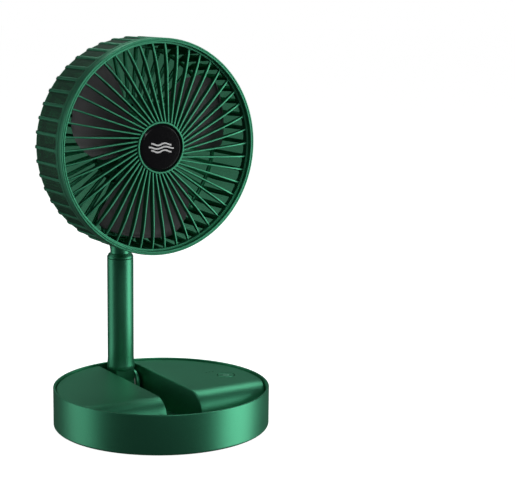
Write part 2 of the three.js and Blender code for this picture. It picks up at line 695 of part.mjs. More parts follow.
// ---------- rotor ----------
const impellerLow = MOTOR_CUP_H + 1.5;
const impellerHubTop = hubLow - 5;
const hubWall = 1.8;
const bladeLow = impellerLow + 2;
const bladeRise = hubLow - FRONT_GAP - BLADE_T - bladeLow;
const bladeGeometry = new THREE.BoxGeometry(1, 1, BLADE_T, 4, 6, 1);
const bladePoints = bladeGeometry.attributes.position;
for (let i = 0; i < bladePoints.count; i++) {
  const along = bladePoints.getX(i) + 0.5;
  const across = bladePoints.getY(i);
  const radius = BLADE_ROOT_R + (BLADE_TIP_R - BLADE_ROOT_R) * along;
  const rake = BLADE_RAKE * Math.max(0, (along - RAKE_START) / (1 - RAKE_START)) ** 1.5;
  const angle = THREE.MathUtils.degToRad((across + 0.5) * (BLADE_SWEEP - rake));
  bladePoints.setXYZ(
    i,
    radius * Math.cos(angle),
    radius * Math.sin(angle),
    bladePoints.getZ(i) + bladeLow + BLADE_T / 2 + bladeRise * (0.5 + across),
  );
}
const blade = solid(bladeGeometry);
const bossOuterR = SHAFT_R + 2.5;
let impeller = ring(
  [
    [SHAFT_R + CLEAR, impellerLow + 2],
    [bossOuterR, impellerLow + 2],
    [bossOuterR, impellerHubTop - hubWall],
    [IMPELLER_HUB_R - hubWall, impellerHubTop - hubWall - 2],
    [IMPELLER_HUB_R - hubWall, impellerLow],
    [IMPELLER_HUB_R, impellerLow],
    [IMPELLER_HUB_R, impellerHubTop - 3],
    [IMPELLER_HUB_R - 4, impellerHubTop],
    [SHAFT_R + CLEAR, impellerHubTop],
  ],
  ROUND / 2 + 4,
);
for (let i = 0; i < BLADE_COUNT; i++)
  impeller = impeller.add(turnedBy(blade, FIRST_BLADE + (i * 360) / BLADE_COUNT));
add("impeller", impeller, CHARCOAL, head);
add(
  "motor_shaft",
  rod("z", SHAFT_R, motorLow + 3 + CLEAR, impellerHubTop + 0.5, [0, 0, 0], 12),
  STEEL,
  head,
);
add(
  "impeller_nut",
  rod("z", 4, impellerHubTop + CLEAR, impellerHubTop + 3, [0, 0, 0], 12).subtract(
    rod("z", SHAFT_R + CLEAR, impellerHubTop, impellerHubTop + 1, [0, 0, 0], 12),
  ),
  BLACK,
  head,
);

// ---------- rear bracket with the head's knuckle ----------
const plateMiddle = mountScrewPlaces[0][1];
const pivotBack = POLE_Y - HEAD_BACK_Y; // how far the upper hinge lies behind the back
const plateT = 2.4;
const armHalf = 7.6; // the arm passes over the fork's floor when the head turns back
let mount = join([
  block(
    [-mountPlateHalf[0], plateMiddle - mountPlateHalf[1], -CLEAR - plateT],
    [mountPlateHalf[0], plateMiddle + mountPlateHalf[1], -CLEAR],
  ),
  block(
    [-KNUCKLE_HALF, -TILT_DROP - armHalf / 2, -pivotBack],
    [KNUCKLE_HALF, -TILT_DROP + armHalf, -CLEAR - plateT / 2],
  ),
  block(
    [-KNUCKLE_HALF, -TILT_DROP + armHalf - 1, -pivotBack + KNUCKLE_R + 1.6],
    [KNUCKLE_HALF, plateMiddle - mountPlateHalf[1] + 4, -CLEAR - plateT / 2],
  ),
  rod("x", KNUCKLE_R - 0.5, -KNUCKLE_HALF, KNUCKLE_HALF, [0, -TILT_DROP, -pivotBack], ROUND / 2),
]).subtract(pinBore(-TILT_DROP, -pivotBack));
for (const [x, y] of mountScrewPlaces)
  mount = mount.subtract(rod("z", SCREW_R + CLEAR, -plateT - 2, 1, [x, y, 0], TINY));
add("rear_bracket", mount, GREEN, head);
mountScrewPlaces.forEach(([x, y], i) =>
  add(
    `bracket_screw_${i + 1}`,
    rod("z", SCREW_HEAD_R, -plateT - CLEAR - SCREW_HEAD_H, -plateT - 2 * CLEAR, [x, y, 0], TINY).add(
      rod("z", SCREW_R, -plateT - 1, back - 0.5, [x, y, 0], TINY),
    ),
    STEEL,
    head,
  ),
);

export default fan;
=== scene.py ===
"""A folding desk fan in satin green: a ribbed drum head on one pole that lies down into its round base.

Shapes are worked out in millimetres and put into meshes in metres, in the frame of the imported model:
+Z is up, the fan faces -Y and the pole stands at +Y.
"""
import json
import math

import bmesh
import bpy
import numpy as np
from mathutils import Matrix, Vector


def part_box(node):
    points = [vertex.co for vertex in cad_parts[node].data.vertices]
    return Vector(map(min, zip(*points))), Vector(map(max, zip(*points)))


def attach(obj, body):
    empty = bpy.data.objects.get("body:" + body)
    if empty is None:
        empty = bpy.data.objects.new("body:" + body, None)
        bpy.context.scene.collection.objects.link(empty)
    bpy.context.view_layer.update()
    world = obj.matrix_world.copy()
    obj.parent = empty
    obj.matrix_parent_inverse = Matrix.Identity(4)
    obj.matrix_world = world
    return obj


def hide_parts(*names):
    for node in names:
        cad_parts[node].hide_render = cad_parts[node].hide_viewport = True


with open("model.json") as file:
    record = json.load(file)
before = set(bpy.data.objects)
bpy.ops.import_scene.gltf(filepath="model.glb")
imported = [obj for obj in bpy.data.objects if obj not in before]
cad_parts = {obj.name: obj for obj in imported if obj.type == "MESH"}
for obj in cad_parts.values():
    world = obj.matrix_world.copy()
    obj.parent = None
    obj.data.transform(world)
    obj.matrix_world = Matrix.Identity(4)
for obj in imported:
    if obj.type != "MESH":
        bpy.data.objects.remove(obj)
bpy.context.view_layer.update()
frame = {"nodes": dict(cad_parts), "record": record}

# -------------------- camera
# A long lens a little above the fan, looking at its front from the left, with a slight roll.
view_from = Vector((-0.500964, -0.926069, 0.323794))
view_at = Vector((0.085579, 0.0, 0.131187))
view_roll = math.radians(0.6995)
camera = bpy.data.objects.new("camera", bpy.data.cameras.new("camera"))
camera.data.sensor_width = 36.0
camera.data.lens = 98.84
turn = (view_at - view_from).to_track_quat("-Z", "Y").to_matrix() @ Matrix.Rotation(view_roll, 3, "Z")
camera.matrix_world = Matrix.Translation(view_from) @ turn.to_4x4()
bpy.context.scene.collection.objects.link(camera)
bpy.context.scene.camera = camera
bpy.context.scene.view_settings.view_transform = "Standard"


# -------------------- floor and light
# A white sweep, a tall strip box at each side, a broad box high behind and a weak one in front. The sweep
# shows white but gives back no light, so the paint keeps its dark bands between the boxes.
def softbox(name, place, aim, width, height, watts):
    """A rectangular area light at `place` that faces `aim`."""
    light = bpy.data.lights.new(name, "AREA")
    light.shape = "RECTANGLE"
    light.size, light.size_y, light.energy = width, height, watts
    lamp = bpy.data.objects.new(name, light)
    lamp.location = place
    lamp.rotation_euler = (Vector(aim) - Vector(place)).to_track_quat("-Z", "Y").to_euler()
    lamp.visible_camera = False
    bpy.context.scene.collection.objects.link(lamp)


softbox("strip_right", (0.99, -0.66, 0.05), (0, 0, 0.0), 0.88, 1.6, 10.3)
softbox("strip_left", (-1.02, 0.58, 0.05), (0, 0, 0.0), 0.80, 1.6, 3.9)
softbox("behind", (0.36, 0.52, 1.12), (0, 0, 0.1), 1.1, 0.6, 5.6)
softbox("front", (-0.2, -1.3, 0.9), (0, 0, 0.2), 0.9, 0.6, 4.0)


def tree_of(owner):
    """Turns on the owner's node tree, empties it and returns it."""
    owner.use_nodes = True
    owner.node_tree.nodes.clear()
    return owner.node_tree


def put(tree, kind, inputs, operation=None, group=None):
    """Adds a node. Each input takes a plain value, or is linked where it is given another node's output."""
    node = tree.nodes.new(kind)
    if operation:
        node.operation = operation
    if group:
        node.node_tree = group
    for socket, value in inputs.items():
        if isinstance(value, bpy.types.NodeSocket):
            tree.links.new(value, node.inputs[socket])
        else:
            node.inputs[socket].default_value = value
    return node


world = bpy.data.worlds.new("studio")
bpy.context.scene.world = world
tree = tree_of(world)
path = put(tree, "ShaderNodeLightPath", {})
seen = put(tree, "ShaderNodeBackground", {"Color": (1, 1, 1, 1)})
fill = put(tree, "ShaderNodeBackground", {"Color": (0.060, 0.060, 0.060, 1)})
to_camera = path.outputs["Is Camera Ray"]
sky = put(tree, "ShaderNodeMixShader", {"Fac": to_camera, 1: fill.outputs[0], 2: seen.outputs[0]})
put(tree, "ShaderNodeOutputWorld", {"Surface": sky.outputs[0]})

sweep_half = 12.0
sweep = bpy.data.meshes.new("floor")
sweep_corners = [(x * sweep_half, y * sweep_half, 0) for x, y in ((-1, -1), (1, -1), (1, 1), (-1, 1))]
sweep.from_pydata(sweep_corners, [], [(0, 1, 2, 3)])
floor = bpy.data.objects.new("floor", sweep)
bpy.context.scene.collection.objects.link(floor)
floor_paper = bpy.data.materials.new("floor_paper")
tree = tree_of(floor_paper)
paper = put(
    tree,
    "ShaderNodeBsdfPrincipled",
    {
        "Base Color": (0.80, 0.80, 0.80, 1),
        "Roughness": 0.9,
        "Emission Color": (1, 1, 1, 1),
        "Emission Strength": 0.95,
    },
)
put(tree, "ShaderNodeOutputMaterial", {"Surface": paper.outputs[0]})
sweep.materials.append(floor_paper)
floor.visible_diffuse = floor.visible_glossy = floor.visible_shadow = False


# -------------------- base cup
# A thin-walled round cup moulded in one piece: a flat floor on four feet, an upright wall with a soft lower
# edge and a fine rounded rim, and a window at the back for the charging socket.
MM = 0.001


def box_mm(node):
    """The lowest and the highest corner of a node of the frame, in millimetres."""
    low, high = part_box(node)
    return np.array(low) / MM, np.array(high) / MM


def rounded(corners, radii, steps=6, inset=0.0, closed=True):
    """An outline with each corner turned into an arc.

    At a corner whose sides open by 2h, an arc of radius r starts and ends r / tan h along the two sides,
    and its centre lies r / sin h along the line that halves the corner. An inset first moves each side
    inwards, which shifts a corner by inset / sin h along the same line; an outline that runs anticlockwise
    has its inside on the left. Open outlines keep their two ends as they are.
    """
    p = np.asarray(corners, float)
    r = np.broadcast_to(np.asarray(radii, float), len(p)).copy()
    back, ahead = np.roll(p, 1, 0) - p, np.roll(p, -1, 0) - p
    if not closed:
        r[[0, -1]] = 0
        back[0], ahead[-1] = -ahead[0], -back[-1]
    back /= np.linalg.norm(back, axis=1, keepdims=True)
    ahead /= np.linalg.norm(ahead, axis=1, keepdims=True)
    half = np.arccos(np.clip((back * ahead).sum(1), -1, 1)) / 2
    straight = half > math.pi / 2 - 1e-4
    middle = back + ahead
    middle[straight] = np.stack([back[straight, 1], -back[straight, 0]], 1)
    middle /= np.linalg.norm(middle, axis=1, keepdims=True)
    convex = np.sign(-back[:, 0] * ahead[:, 1] + back[:, 1] * ahead[:, 0])
    convex[straight] = 1
    p = p + (convex * inset / np.sin(half))[:, None] * middle
    r = np.where(r > 0, np.maximum(r - convex * inset, 0), 0)
    r[straight] = 0
    centre = p + (r / np.sin(half))[:, None] * middle
    reach = (r / np.tan(half))[:, None]
    first, last = p + back * reach - centre, p + ahead * reach - centre
    sweep_angle = np.maximum(math.pi - 2 * half, 1e-6)[:, None]
    w = np.linspace(0, 1, steps)[None, :]
    a = (np.sin((1 - w) * sweep_angle) / np.sin(sweep_angle))[..., None]
    b = (np.sin(w * sweep_angle) / np.sin(sweep_angle))[..., None]
    return (centre[:, None] + a * first[:, None] + b * last[:, None]).reshape(-1, 2)


def rectangle(low, high):
    """The four corners of an upright rectangle, anticlockwise from the low one."""
    return [tuple(low), (high[0], low[1]), tuple(high), (low[0], high[1])]


def turned(profile, sides, around=(0, 0)):
    """A profile of (radius, height) points turned about an upright axis.

    At the turn t a point stands at (x + radius cos t, y + radius sin t, height).
    """
    r, z = np.asarray(profile, float).T
    t = np.linspace(0, 2 * math.pi, sides, endpoint=False)
    x, y = around[0] + np.outer(r, np.cos(t)), around[1] + np.outer(r, np.sin(t))
    return np.stack([x, y, np.repeat(z[:, None], sides, 1)], -1)


def build(name, shells, sharp=30):
    """One mesh piece from grids of points in millimetres.

    Each shell is (points, rows join up, columns join up). Every point joins the next one of its row and the
    two in the next row; points that fall together at a pole or a seam become one. Edges sharper than the
    angle stay crisp.
    """
    points, faces, first = [], [], 0
    for grid, rows_join, columns_join in shells:
        rows, columns = grid.shape[:2]
        row = np.arange(rows if rows_join else rows - 1)[:, None]
        column = np.arange(columns if columns_join else columns - 1)[None, :]
        near, far = row * columns, (row + 1) % rows * columns
        left, right = column, (column + 1) % columns
        quads = np.stack([near + left, near + right, far + right, far + left], -1).reshape(-1, 4)
        faces.append(quads + first)
        points.append(grid.reshape(-1, 3))
        first += rows * columns
    mesh = bpy.data.meshes.new(name)
    mesh.from_pydata((np.concatenate(points) * MM).tolist(), [], np.concatenate(faces).tolist())
    clean(mesh, sharp)
    piece = bpy.data.objects.new(name, mesh)
    bpy.context.scene.collection.objects.link(piece)
    return piece


def clean(mesh, sharp):
    """Merges points closer than a micron, turns the faces outwards and marks the crisp edges."""
    work = bmesh.new()
    work.from_mesh(mesh)
    bmesh.ops.remove_doubles(work, verts=work.verts, dist=1e-6)
    bmesh.ops.recalc_face_normals(work, faces=work.faces)
    work.to_mesh(mesh)
    work.free()
    mesh.shade_smooth()
    mesh.set_sharp_from_angle(angle=math.radians(sharp))


def cut(piece, shells, sharp=30):
    """Takes closed cutter shells away from a piece and keeps the result as the piece's mesh."""
    tool = build("cutter", shells)
    cutting = piece.modifiers.new("cut", "BOOLEAN")
    cutting.operation, cutting.solver, cutting.object = "DIFFERENCE", "EXACT", tool
    graph = bpy.context.evaluated_depsgraph_get()
    result = bpy.data.meshes.new_from_object(piece.evaluated_get(graph))
    piece.modifiers.clear()
    piece.data = result
    result.name = piece.name
    bpy.data.objects.remove(tool)
    clean(result, sharp)


def disc(radius, low, high, around, sides=48, edge=0.0):
    """A closed upright cylinder whose ends have their edge rounded by `edge`."""
    outline = rounded(rectangle((0, low), (radius, high)), edge, closed=False)
    return turned(outline, sides, around), False, True


def slab(corners, radii, low, high, edge, order, steps=4, arc=7):
    """A plate: a rounded outline carried from `low` to `high`, with its two rims rounded by `edge`.

    Across the thickness the outline draws in by edge (1 - cos a) while it moves edge sin a from the face.
    `order` names which world axis each of (first, second, thickness) becomes.
    """
    a = np.linspace(0, math.pi / 2, steps)
    draw_in = edge * (1 - np.sin(a))
    rise = edge * (1 - np.cos(a))
    insets = np.concatenate([draw_in, draw_in[::-1]])
    heights = np.concatenate([low + rise, high - rise[::-1]])
    outlines = [rounded(corners, radii, arc, inset) for inset in insets]
    rows = [np.column_stack([line, np.full(len(line), height)]) for line, height in zip(outlines, heights)]
    grid = np.stack(rows)
    middle = np.repeat(grid[[0, -1]].mean(1, keepdims=True), grid.shape[1], 1)
    grid = np.concatenate([middle[:1], grid, middle[1:]])
    placed = np.empty_like(grid)
    for source, axis in enumerate(order):
        placed[..., "xyz".index(axis)] = grid[..., source]
    return placed, False, True


cup_low, cup_high = box_mm("base_cup")
base_r, base_top, cup_floor_low = cup_high[0], cup_high[2], cup_low[2]
cup_wall, cup_floor = 1.8, 1.8
cup_inner_r, cup_floor_top = base_r - cup_wall, cup_floor_low + cup_floor
cup_profile = rounded(
    [
        (0, cup_floor_low), (base_r, cup_floor_low), (base_r, base_top), (cup_inner_r, base_top),
        (cup_inner_r, cup_floor_top), (0, cup_floor_top),
    ],
    [0, 2.0, 0.5, 0.6, 1.0, 0],
    steps=8,
    closed=False,
)
cup = build("cup_shell", [(turned(cup_profile, 256), False, True)])
socket_low, socket_high = box_mm("usb_socket")
window_gap, window_corner = 0.35, 1.6
window_corners = rectangle((socket_low - window_gap)[[0, 2]], (socket_high + window_gap)[[0, 2]])
window = slab(window_corners, window_corner, socket_low[1], base_r, 0, "xzy")
foot_nodes = [f"foot_pad_{i}" for i in range(1, 5)]
foot_spots = [sum(box_mm(node)) / 2 for node in foot_nodes]
foot_r = (box_mm(foot_nodes[0])[1] - box_mm(foot_nodes[0])[0])[0] / 2
foot_top = box_mm(foot_nodes[0])[1][2]
base_screws = [f"deck_screw_{i}" for i in range(1, 5)] + ["hinge_screw_1", "hinge_screw_2"]
screw_spots = [sum(box_mm(node)) / 2 for node in base_screws]
seat_side_gap, seat_top_gap, screw_well_r, screw_well_depth = 0.3, 0.2, 2.8, 1.0
cut(
    cup,
    [window]
    + [disc(foot_r + seat_side_gap, 0, foot_top + seat_top_gap, spot[:2]) for spot in foot_spots]
    + [disc(screw_well_r, 0, cup_floor_low + screw_well_depth, spot[:2], 24) for spot in screw_spots],
)


def grain_group():
    """The satin skin of a painted or moulded part: a fine grain and slow drifts of gloss.

    The roughness is the given one plus drift times a slow noise plus a share of the fine noise; the normal
    comes from the fine noise as a bump.
    """
    group = bpy.data.node_groups.new("satin_skin", "ShaderNodeTree")
    sockets = group.interface
    for name, default in (("Grain Size", 0.0004), ("Grain Depth", 0.03), ("Roughness", 0.4), ("Drift", 0.05)):
        socket = sockets.new_socket(name, in_out="INPUT", socket_type="NodeSocketFloat")
        socket.default_value = default
    sockets.new_socket("Tone", in_out="OUTPUT", socket_type="NodeSocketFloat")
    sockets.new_socket("Roughness", in_out="OUTPUT", socket_type="NodeSocketFloat")
    sockets.new_socket("Normal", in_out="OUTPUT", socket_type="NodeSocketVector")
    given = put(group, "NodeGroupInput", {}).outputs
    place = put(group, "ShaderNodeTexCoord", {}).outputs["Object"]
    per_metre = put(group, "ShaderNodeMath", {0: 1.0, 1: given["Grain Size"]}, "DIVIDE").outputs[0]
    fine_noise = put(group, "ShaderNodeTexNoise", {"Vector": place, "Scale": per_metre, "Detail": 2.0})
    slow_noise = put(group, "ShaderNodeTexNoise", {"Vector": place, "Scale": 22.0, "Detail": 3.0})
    fine, slow = fine_noise.outputs["Fac"], slow_noise.outputs["Fac"]
    drift = put(group, "ShaderNodeMath", {0: slow, 1: given["Drift"], 2: given["Roughness"]}, "MULTIPLY_ADD")
    speckle = put(group, "ShaderNodeMath", {0: fine, 1: 0.06, 2: drift.outputs[0]}, "MULTIPLY_ADD")
    relief = {"Strength": given["Grain Depth"], "Distance": 0.0001, "Height": fine}
    bump = put(group, "ShaderNodeBump", relief)
    skin = {"Tone": fine, "Roughness": speckle.outputs[0], "Normal": bump.outputs["Normal"]}
    put(group, "NodeGroupOutput", skin)
    return group


satin_skin = grain_group()


def ramp_of(tree, tone, low, high, dark, light):
    """The colour that runs from dark, where the tone is low, to light, where it is high."""
    ramp = put(tree, "ShaderNodeValToRGB", {"Fac": tone})
    first, last = ramp.color_ramp.elements
    first.position, first.color = low, (*dark, 1)
    last.position, last.color = high, (*light, 1)
    return ramp.outputs["Color"]


def finish_of(name, dark, light, roughness, metallic=0.0, grain=0.0004, depth=0.03, drift=0.05):
    """A satin material: its colour runs from dark to light with the grain's tone."""
    material = bpy.data.materials.new(name)
    tree = tree_of(material)
    values = {"Grain Size": grain, "Grain Depth": depth, "Roughness": roughness, "Drift": drift}
    skin = put(tree, "ShaderNodeGroup", values, group=satin_skin).outputs
    shader = put(
        tree,
        "ShaderNodeBsdfPrincipled",
        {
            "Base Color": ramp_of(tree, skin["Tone"], 0.25, 0.75, dark, light),
            "Metallic": metallic,
            "Roughness": skin["Roughness"],
            "Normal": skin["Normal"],
        },
    )
    put(tree, "ShaderNodeOutputMaterial", {"Surface": shader.outputs[0]})
    return material


def settle(piece, material, body, node):
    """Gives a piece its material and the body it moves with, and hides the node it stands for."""
    piece.data.materials.append(material)
    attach(piece, body)
    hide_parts(node)


green_paint = finish_of("green_paint", (0.055, 0.300, 0.168), (0.075, 0.370, 0.207), 0.36, metallic=0.95)
settle(cup, green_paint, "base", "base_cup")


# -------------------- feet
# Four soft rubber discs pressed into shallow seats under the cup, with a rounded edge and a shallow dish.
rubber = finish_of("soft_rubber", (0.010,) * 3, (0.020, 0.020, 0.021), 0.75, grain=0.0007, depth=0.25)
foot_edge, foot_dish, foot_soft = 0.4, 0.25, 0.2
foot_dish_r, foot_ring_r = foot_r * 0.6, foot_r * 0.7
foot_profile = rounded(
    [(0, foot_dish), (foot_dish_r, foot_dish), (foot_ring_r, 0)]
    + [(foot_r, 0), (foot_r, foot_top), (0, foot_top)],
    [0, foot_soft, foot_soft, foot_edge, foot_soft, 0],
    closed=False,
)
for node, spot in zip(foot_nodes, foot_spots):
    foot = build(f"{node}_disc", [(turned(foot_profile, 48, spot[:2]), False, True)])
    settle(foot, rubber, "base", node)


# -------------------- deck
# The base's lid in one moulding: two hollow lobes that end in a rolled front, the slot between them for the
# folded pole, and the sunken floor in front of them. Every outer edge is softened by a one millimetre arc.
deck_low, deck_high = box_mm("deck")
deck_r, deck_top, deck_bottom = deck_high[0], deck_high[2], deck_low[2]
slot_half, deck_skin, lobe_front, roll_r, floor_skin = 14.5, 2.0, -37.0, 16.5, 1.0
deck_edge, inside_edge = 1.0, 0.4


def arc_between(a, b, steps):
    """Unit directions that turn evenly from directions a to directions b, as rows of `steps`."""
    turn = np.arccos(np.clip((a * b).sum(-1), -1, 1))[:, None, None]
    turn = np.maximum(turn, 1e-5)
    w = np.linspace(0, 1, steps)[None, :, None]
    return (np.sin((1 - w) * turn) * a[:, None] + np.sin(w * turn) * b[:, None]) / np.sin(turn)


def lobe(side, skin, edge, low):
    """One lobe's outer (skin 0) or inner surface as rows from the front foot to the rear tip.

    The side outline goes up the front, round the roll and back along the top. A ball of radius `edge` rolls
    along both of its ends, against the slot's wall and against the round rim: its centre keeps the distance
    `edge` from outline and wall, and the surface between them turns from the wall's normal to the
    outline's. At the rear tip the two walls' normals turn towards each other until they meet.
    """
    front_rows, roll_rows, top_rows, tip_rows, edge_rows = 4, 14, 44, 4, 6
    inner_x, rim = slot_half + skin + edge, deck_r - skin - edge
    front, top, roll = lobe_front + skin, deck_top - skin, roll_r - skin
    rise = np.linspace(low, top - roll, front_rows + 1)[:-1]
    t = np.linspace(0, math.pi / 2, roll_rows + 1)[:-1]
    tip = math.asin(math.sqrt(rim**2 - inner_x**2) / rim)
    back = rim * np.sin(np.linspace(math.asin((front + roll) / rim), tip, top_rows))
    y = np.concatenate([np.full(front_rows, front + edge), front + roll - (roll - edge) * np.cos(t), back])
    z = np.concatenate([rise, top - roll + (roll - edge) * np.sin(t), np.full(top_rows, top - edge)])
    face = np.zeros((len(y), 3))
    face[:front_rows, 1] = -1
    face[front_rows:-top_rows, 1], face[front_rows:-top_rows, 2] = -np.cos(t), np.sin(t)
    face[-top_rows:, 2] = 1
    x = np.sqrt(rim**2 - y**2)
    wall_in = np.tile([-1.0, 0, 0], (len(y), 1))
    wall_out = np.stack([x, y, 0 * x], 1) / rim
    closing = arc_between(wall_in[-1:], wall_out[-1:], 2 * tip_rows + 1)[0]
    held = np.minimum(np.arange(len(y) + tip_rows), len(y) - 1)
    x, y, z, face = x[held], y[held], z[held], face[held]
    wall_in = np.concatenate([wall_in, closing[1 : tip_rows + 1]])
    wall_out = np.concatenate([wall_out, closing[-2 : -tip_rows - 2 : -1]])
    centre_in = np.stack([np.full(len(y), inner_x), y, z], 1)
    centre_out = np.stack([x, y, z], 1)
    up = centre_in[:, None] + edge * arc_between(wall_in, face, edge_rows)
    down = centre_out[:, None] + edge * arc_between(face, wall_out, edge_rows)
    across = np.linspace(0, 1, 12)[None, 1:-1, None]
    between = up[:, -1:] * (1 - across) + down[:, :1] * across
    rows = np.concatenate([up[:, :1], up, between, down, down[:, -1:]], 1)
    rows[:, [0, -1], 2] = low
    return rows * [side, 1, 1]


def lobe_shell(side):
    """Outer and inner surface of a lobe, joined by a flat rim round the foot."""
    outer, inner = lobe(side, 0, deck_edge, deck_bottom), lobe(side, deck_skin, inside_edge, deck_bottom)
    feet = [np.concatenate([g[0], g[1:, -1], g[:0:-1, 0]]) for g in (outer, inner)]
    return [(outer, False, False), (inner, False, False), (np.stack(feet), False, True)]


well_back, well_overlap, well_top = 78.0, 0.5, deck_bottom + floor_skin
well_arc = np.linspace(0, math.acos(-lobe_front / deck_r), 30)
well_y = np.concatenate([-deck_r * np.cos(well_arc), [lobe_front, well_back]])
well_half = np.sqrt(np.maximum(deck_r**2 - well_y[:-2] ** 2, 0))
well_half = np.concatenate([well_half, [slot_half + well_overlap] * 2])
well_edges = ((-1, deck_bottom), (1, deck_bottom), (1, well_top), (-1, well_top))
well_rows = np.stack(
    [np.stack([sign * well_half, well_y, np.full(len(well_y), height)], 1) for sign, height in well_edges], 1
)


def capped(rows):
    """A run of closed rows with both ends drawn together to their middles."""
    ends = np.repeat(rows[[0, -1]].mean(1, keepdims=True), rows.shape[1], 1)
    return np.concatenate([ends[:1], rows, ends[1:]]), False, True


deck = build("deck_lid", lobe_shell(-1) + lobe_shell(1) + [capped(well_rows)])
button_low = box_mm("power_button")[0]
button_at = (sum(box_mm("power_button")) / 2)[:2]
button_r, button_gap = 6.5, 0.45
lights_low, lights_high = box_mm("light_guide")
light_r, light_gap, light_pitch = 0.55, 0.08, 3.0
light_spots = [((lights_low + lights_high) / 2)[:2] + (step * light_pitch, 0) for step in (-1, 0, 1)]


def hole(radius, at, sides):
    """A cutter for a hole in the deck's skin whose mouth opens by a small round."""
    mouth, over, deep, high = 0.35, 0.05, 4, 1
    outline = rounded(
        [
            (0, deck_top - deep),
            (radius, deck_top - deep),
            (radius, deck_top - mouth),
            (radius + mouth, deck_top + over),
            (radius + mouth, deck_top + high),
            (0, deck_top + high),
        ],
        [0, 0, mouth, 0, 0, 0],
        closed=False,
    )
    return turned(outline, sides, at), False, True


light_holes = [hole(light_r + light_gap, spot, 24) for spot in light_spots]
cut(deck, [hole(button_r + button_gap, button_at, 96)] + light_holes)
settle(deck, green_paint, "base", "deck")


# -------------------- power button and indicator lights
# A round push button with a shallow dish, a hidden flange and a stem down to the switch, printed with a
# plain on-off sign; behind it three frosted pins carry light up through the deck.
stem_r, flange_r, flange_low, flange_top = 1.8, button_r + 1.4, deck_top - 4.0, deck_top - 2.4
crown_top, crown_w, dish_low, soft = deck_top + 0.1, 0.9, deck_top - 0.35, 0.2
button_outline = rounded(
    [
        (0, button_low[2]), (stem_r, button_low[2]), (stem_r, flange_low), (flange_r, flange_low),
        (flange_r, flange_top), (button_r, flange_top), (button_r, crown_top),
        (button_r - crown_w, crown_top), (0, dish_low),
    ],
    [0, soft, 0.3, soft, soft, soft, 0.35, 1.5, 0],
    closed=False,
)
button = build("power_button_cap", [(turned(button_outline, 96, button_at), False, True)])
settle(button, green_paint, "button", "power_button")


def ribbon(path, width, low, high):
    """A flat bar of the given width along a plan path, from height `low` to `high`, closed at both ends."""
    along = np.gradient(path, axis=0)
    along /= np.linalg.norm(along, axis=1, keepdims=True)
    aside = np.stack([-along[:, 1], along[:, 0]], 1) * width / 2
    sides = [(path - aside, low), (path + aside, low), (path + aside, high), (path - aside, high)]
    rows = [np.column_stack([line, np.full(len(line), height)]) for line, height in sides]
    return capped(np.stack(rows, 1))


sign_r, sign_width, sign_low, sign_t, bar_low, bar_high = 2.1, 0.5, deck_top - 0.45, 0.35, 0.4, 2.9
sign_turn = np.radians(np.linspace(125, 415, 40))
sign_ring = button_at + sign_r * np.stack([np.cos(sign_turn), np.sin(sign_turn)], 1)
sign_bar = button_at + np.stack([np.zeros(3), np.linspace(bar_low, bar_high, 3)], 1)
sign_lines = (sign_ring, sign_bar)
sign = build("power_sign", [ribbon(line, sign_width, sign_low, sign_low + sign_t) for line in sign_lines])
sign_print = finish_of("pale_green_print", (0.20, 0.55, 0.38), (0.24, 0.62, 0.44), 0.45)
sign.data.materials.append(sign_print)
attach(sign, "button")

pin_top, pin_crown, pin_edge, bar_corner, bar_edge = lights_high[2], 0.05, 0.15, 0.6, 0.2
pin_foot, bar_top = pin_top - 2.5, deck_top - deck_skin - 0.05
light_pin = rounded(
    [(0, pin_foot), (light_r, pin_foot), (light_r, pin_top), (0, pin_top + pin_crown)],
    [0, 0, pin_edge, 0],
    closed=False,
)
bar_corners = rectangle(lights_low[:2], lights_high[:2])
light_bar = slab(bar_corners, bar_corner, lights_low[2], bar_top, bar_edge, "xyz")
light_pins = [(turned(light_pin, 24, spot), False, True) for spot in light_spots]
lights = build("indicator_pins", [light_bar] + light_pins)
frosted = finish_of("frosted_lens", (0.02, 0.05, 0.035), (0.03, 0.07, 0.05), 0.25, grain=0.0002)
settle(lights, frosted, "base", "light_guide")


# -------------------- lower hinge
# A moulded saddle with two round ears, screwed to the floor of the slot. The pole's knuckle turns between
# the ears on a steel pin, held by friction against two nylon washers.
saddle_low, saddle_high = box_mm("hinge_bracket")
pivot_y, pivot_z = (sum(box_mm("hinge_pin")) / 2)[1:]
ear_r, ear_t, pin_r = 12.0, 3.0, 2.5
ear_outer = saddle_high[0]


def ears(radius, foot, y, z, flare=0.8):
    """The two ears of a hinge: straight sides up to the pivot at (y, z) and a full round over it."""
    corners = rectangle((y - radius, foot), (y + radius, z + radius))
    foot_corner, full_round = 0.3, radius - 0.01
    radii, sides = [foot_corner] * 2 + [full_round] * 2, (-ear_outer, ear_outer - ear_t)
    return [slab(corners, radii, low, low + ear_t, flare, "yzx", arc=16) for low in sides]


saddle_half, saddle_front, saddle_back, saddle_top = ear_outer - 0.2, 9.4, 8.0, pivot_z - 9.9
saddle_corner, saddle_edge, saddle_wall_gap = 1.0, 0.4, 0.6
saddle_corners = rectangle((-saddle_half, pivot_y - saddle_front), (saddle_half, pivot_y + saddle_back))
saddle_foot = slab(saddle_corners, saddle_corner, saddle_low[2], saddle_top, saddle_edge, "xyz")
saddle_ear_r = min(ear_r, math.sqrt((cup_inner_r - saddle_wall_gap) ** 2 - ear_outer**2) - pivot_y)
saddle = build("hinge_saddle", ears(saddle_ear_r, saddle_low[2], pivot_y, pivot_z) + [saddle_foot])
settle(saddle, green_paint, "base", "hinge_bracket")

steel = finish_of("plated_steel", (0.42, 0.42, 0.43), (0.55, 0.55, 0.56), 0.22, metallic=1.0, grain=0.0003)


def lying(profile, sides, y, z):
    """A profile of (radius, place) points turned about an axis that runs along X at (y, z)."""
    grid = turned(profile, sides)
    return np.stack([grid[..., 2], grid[..., 0] + y, grid[..., 1] + z], -1), False, True


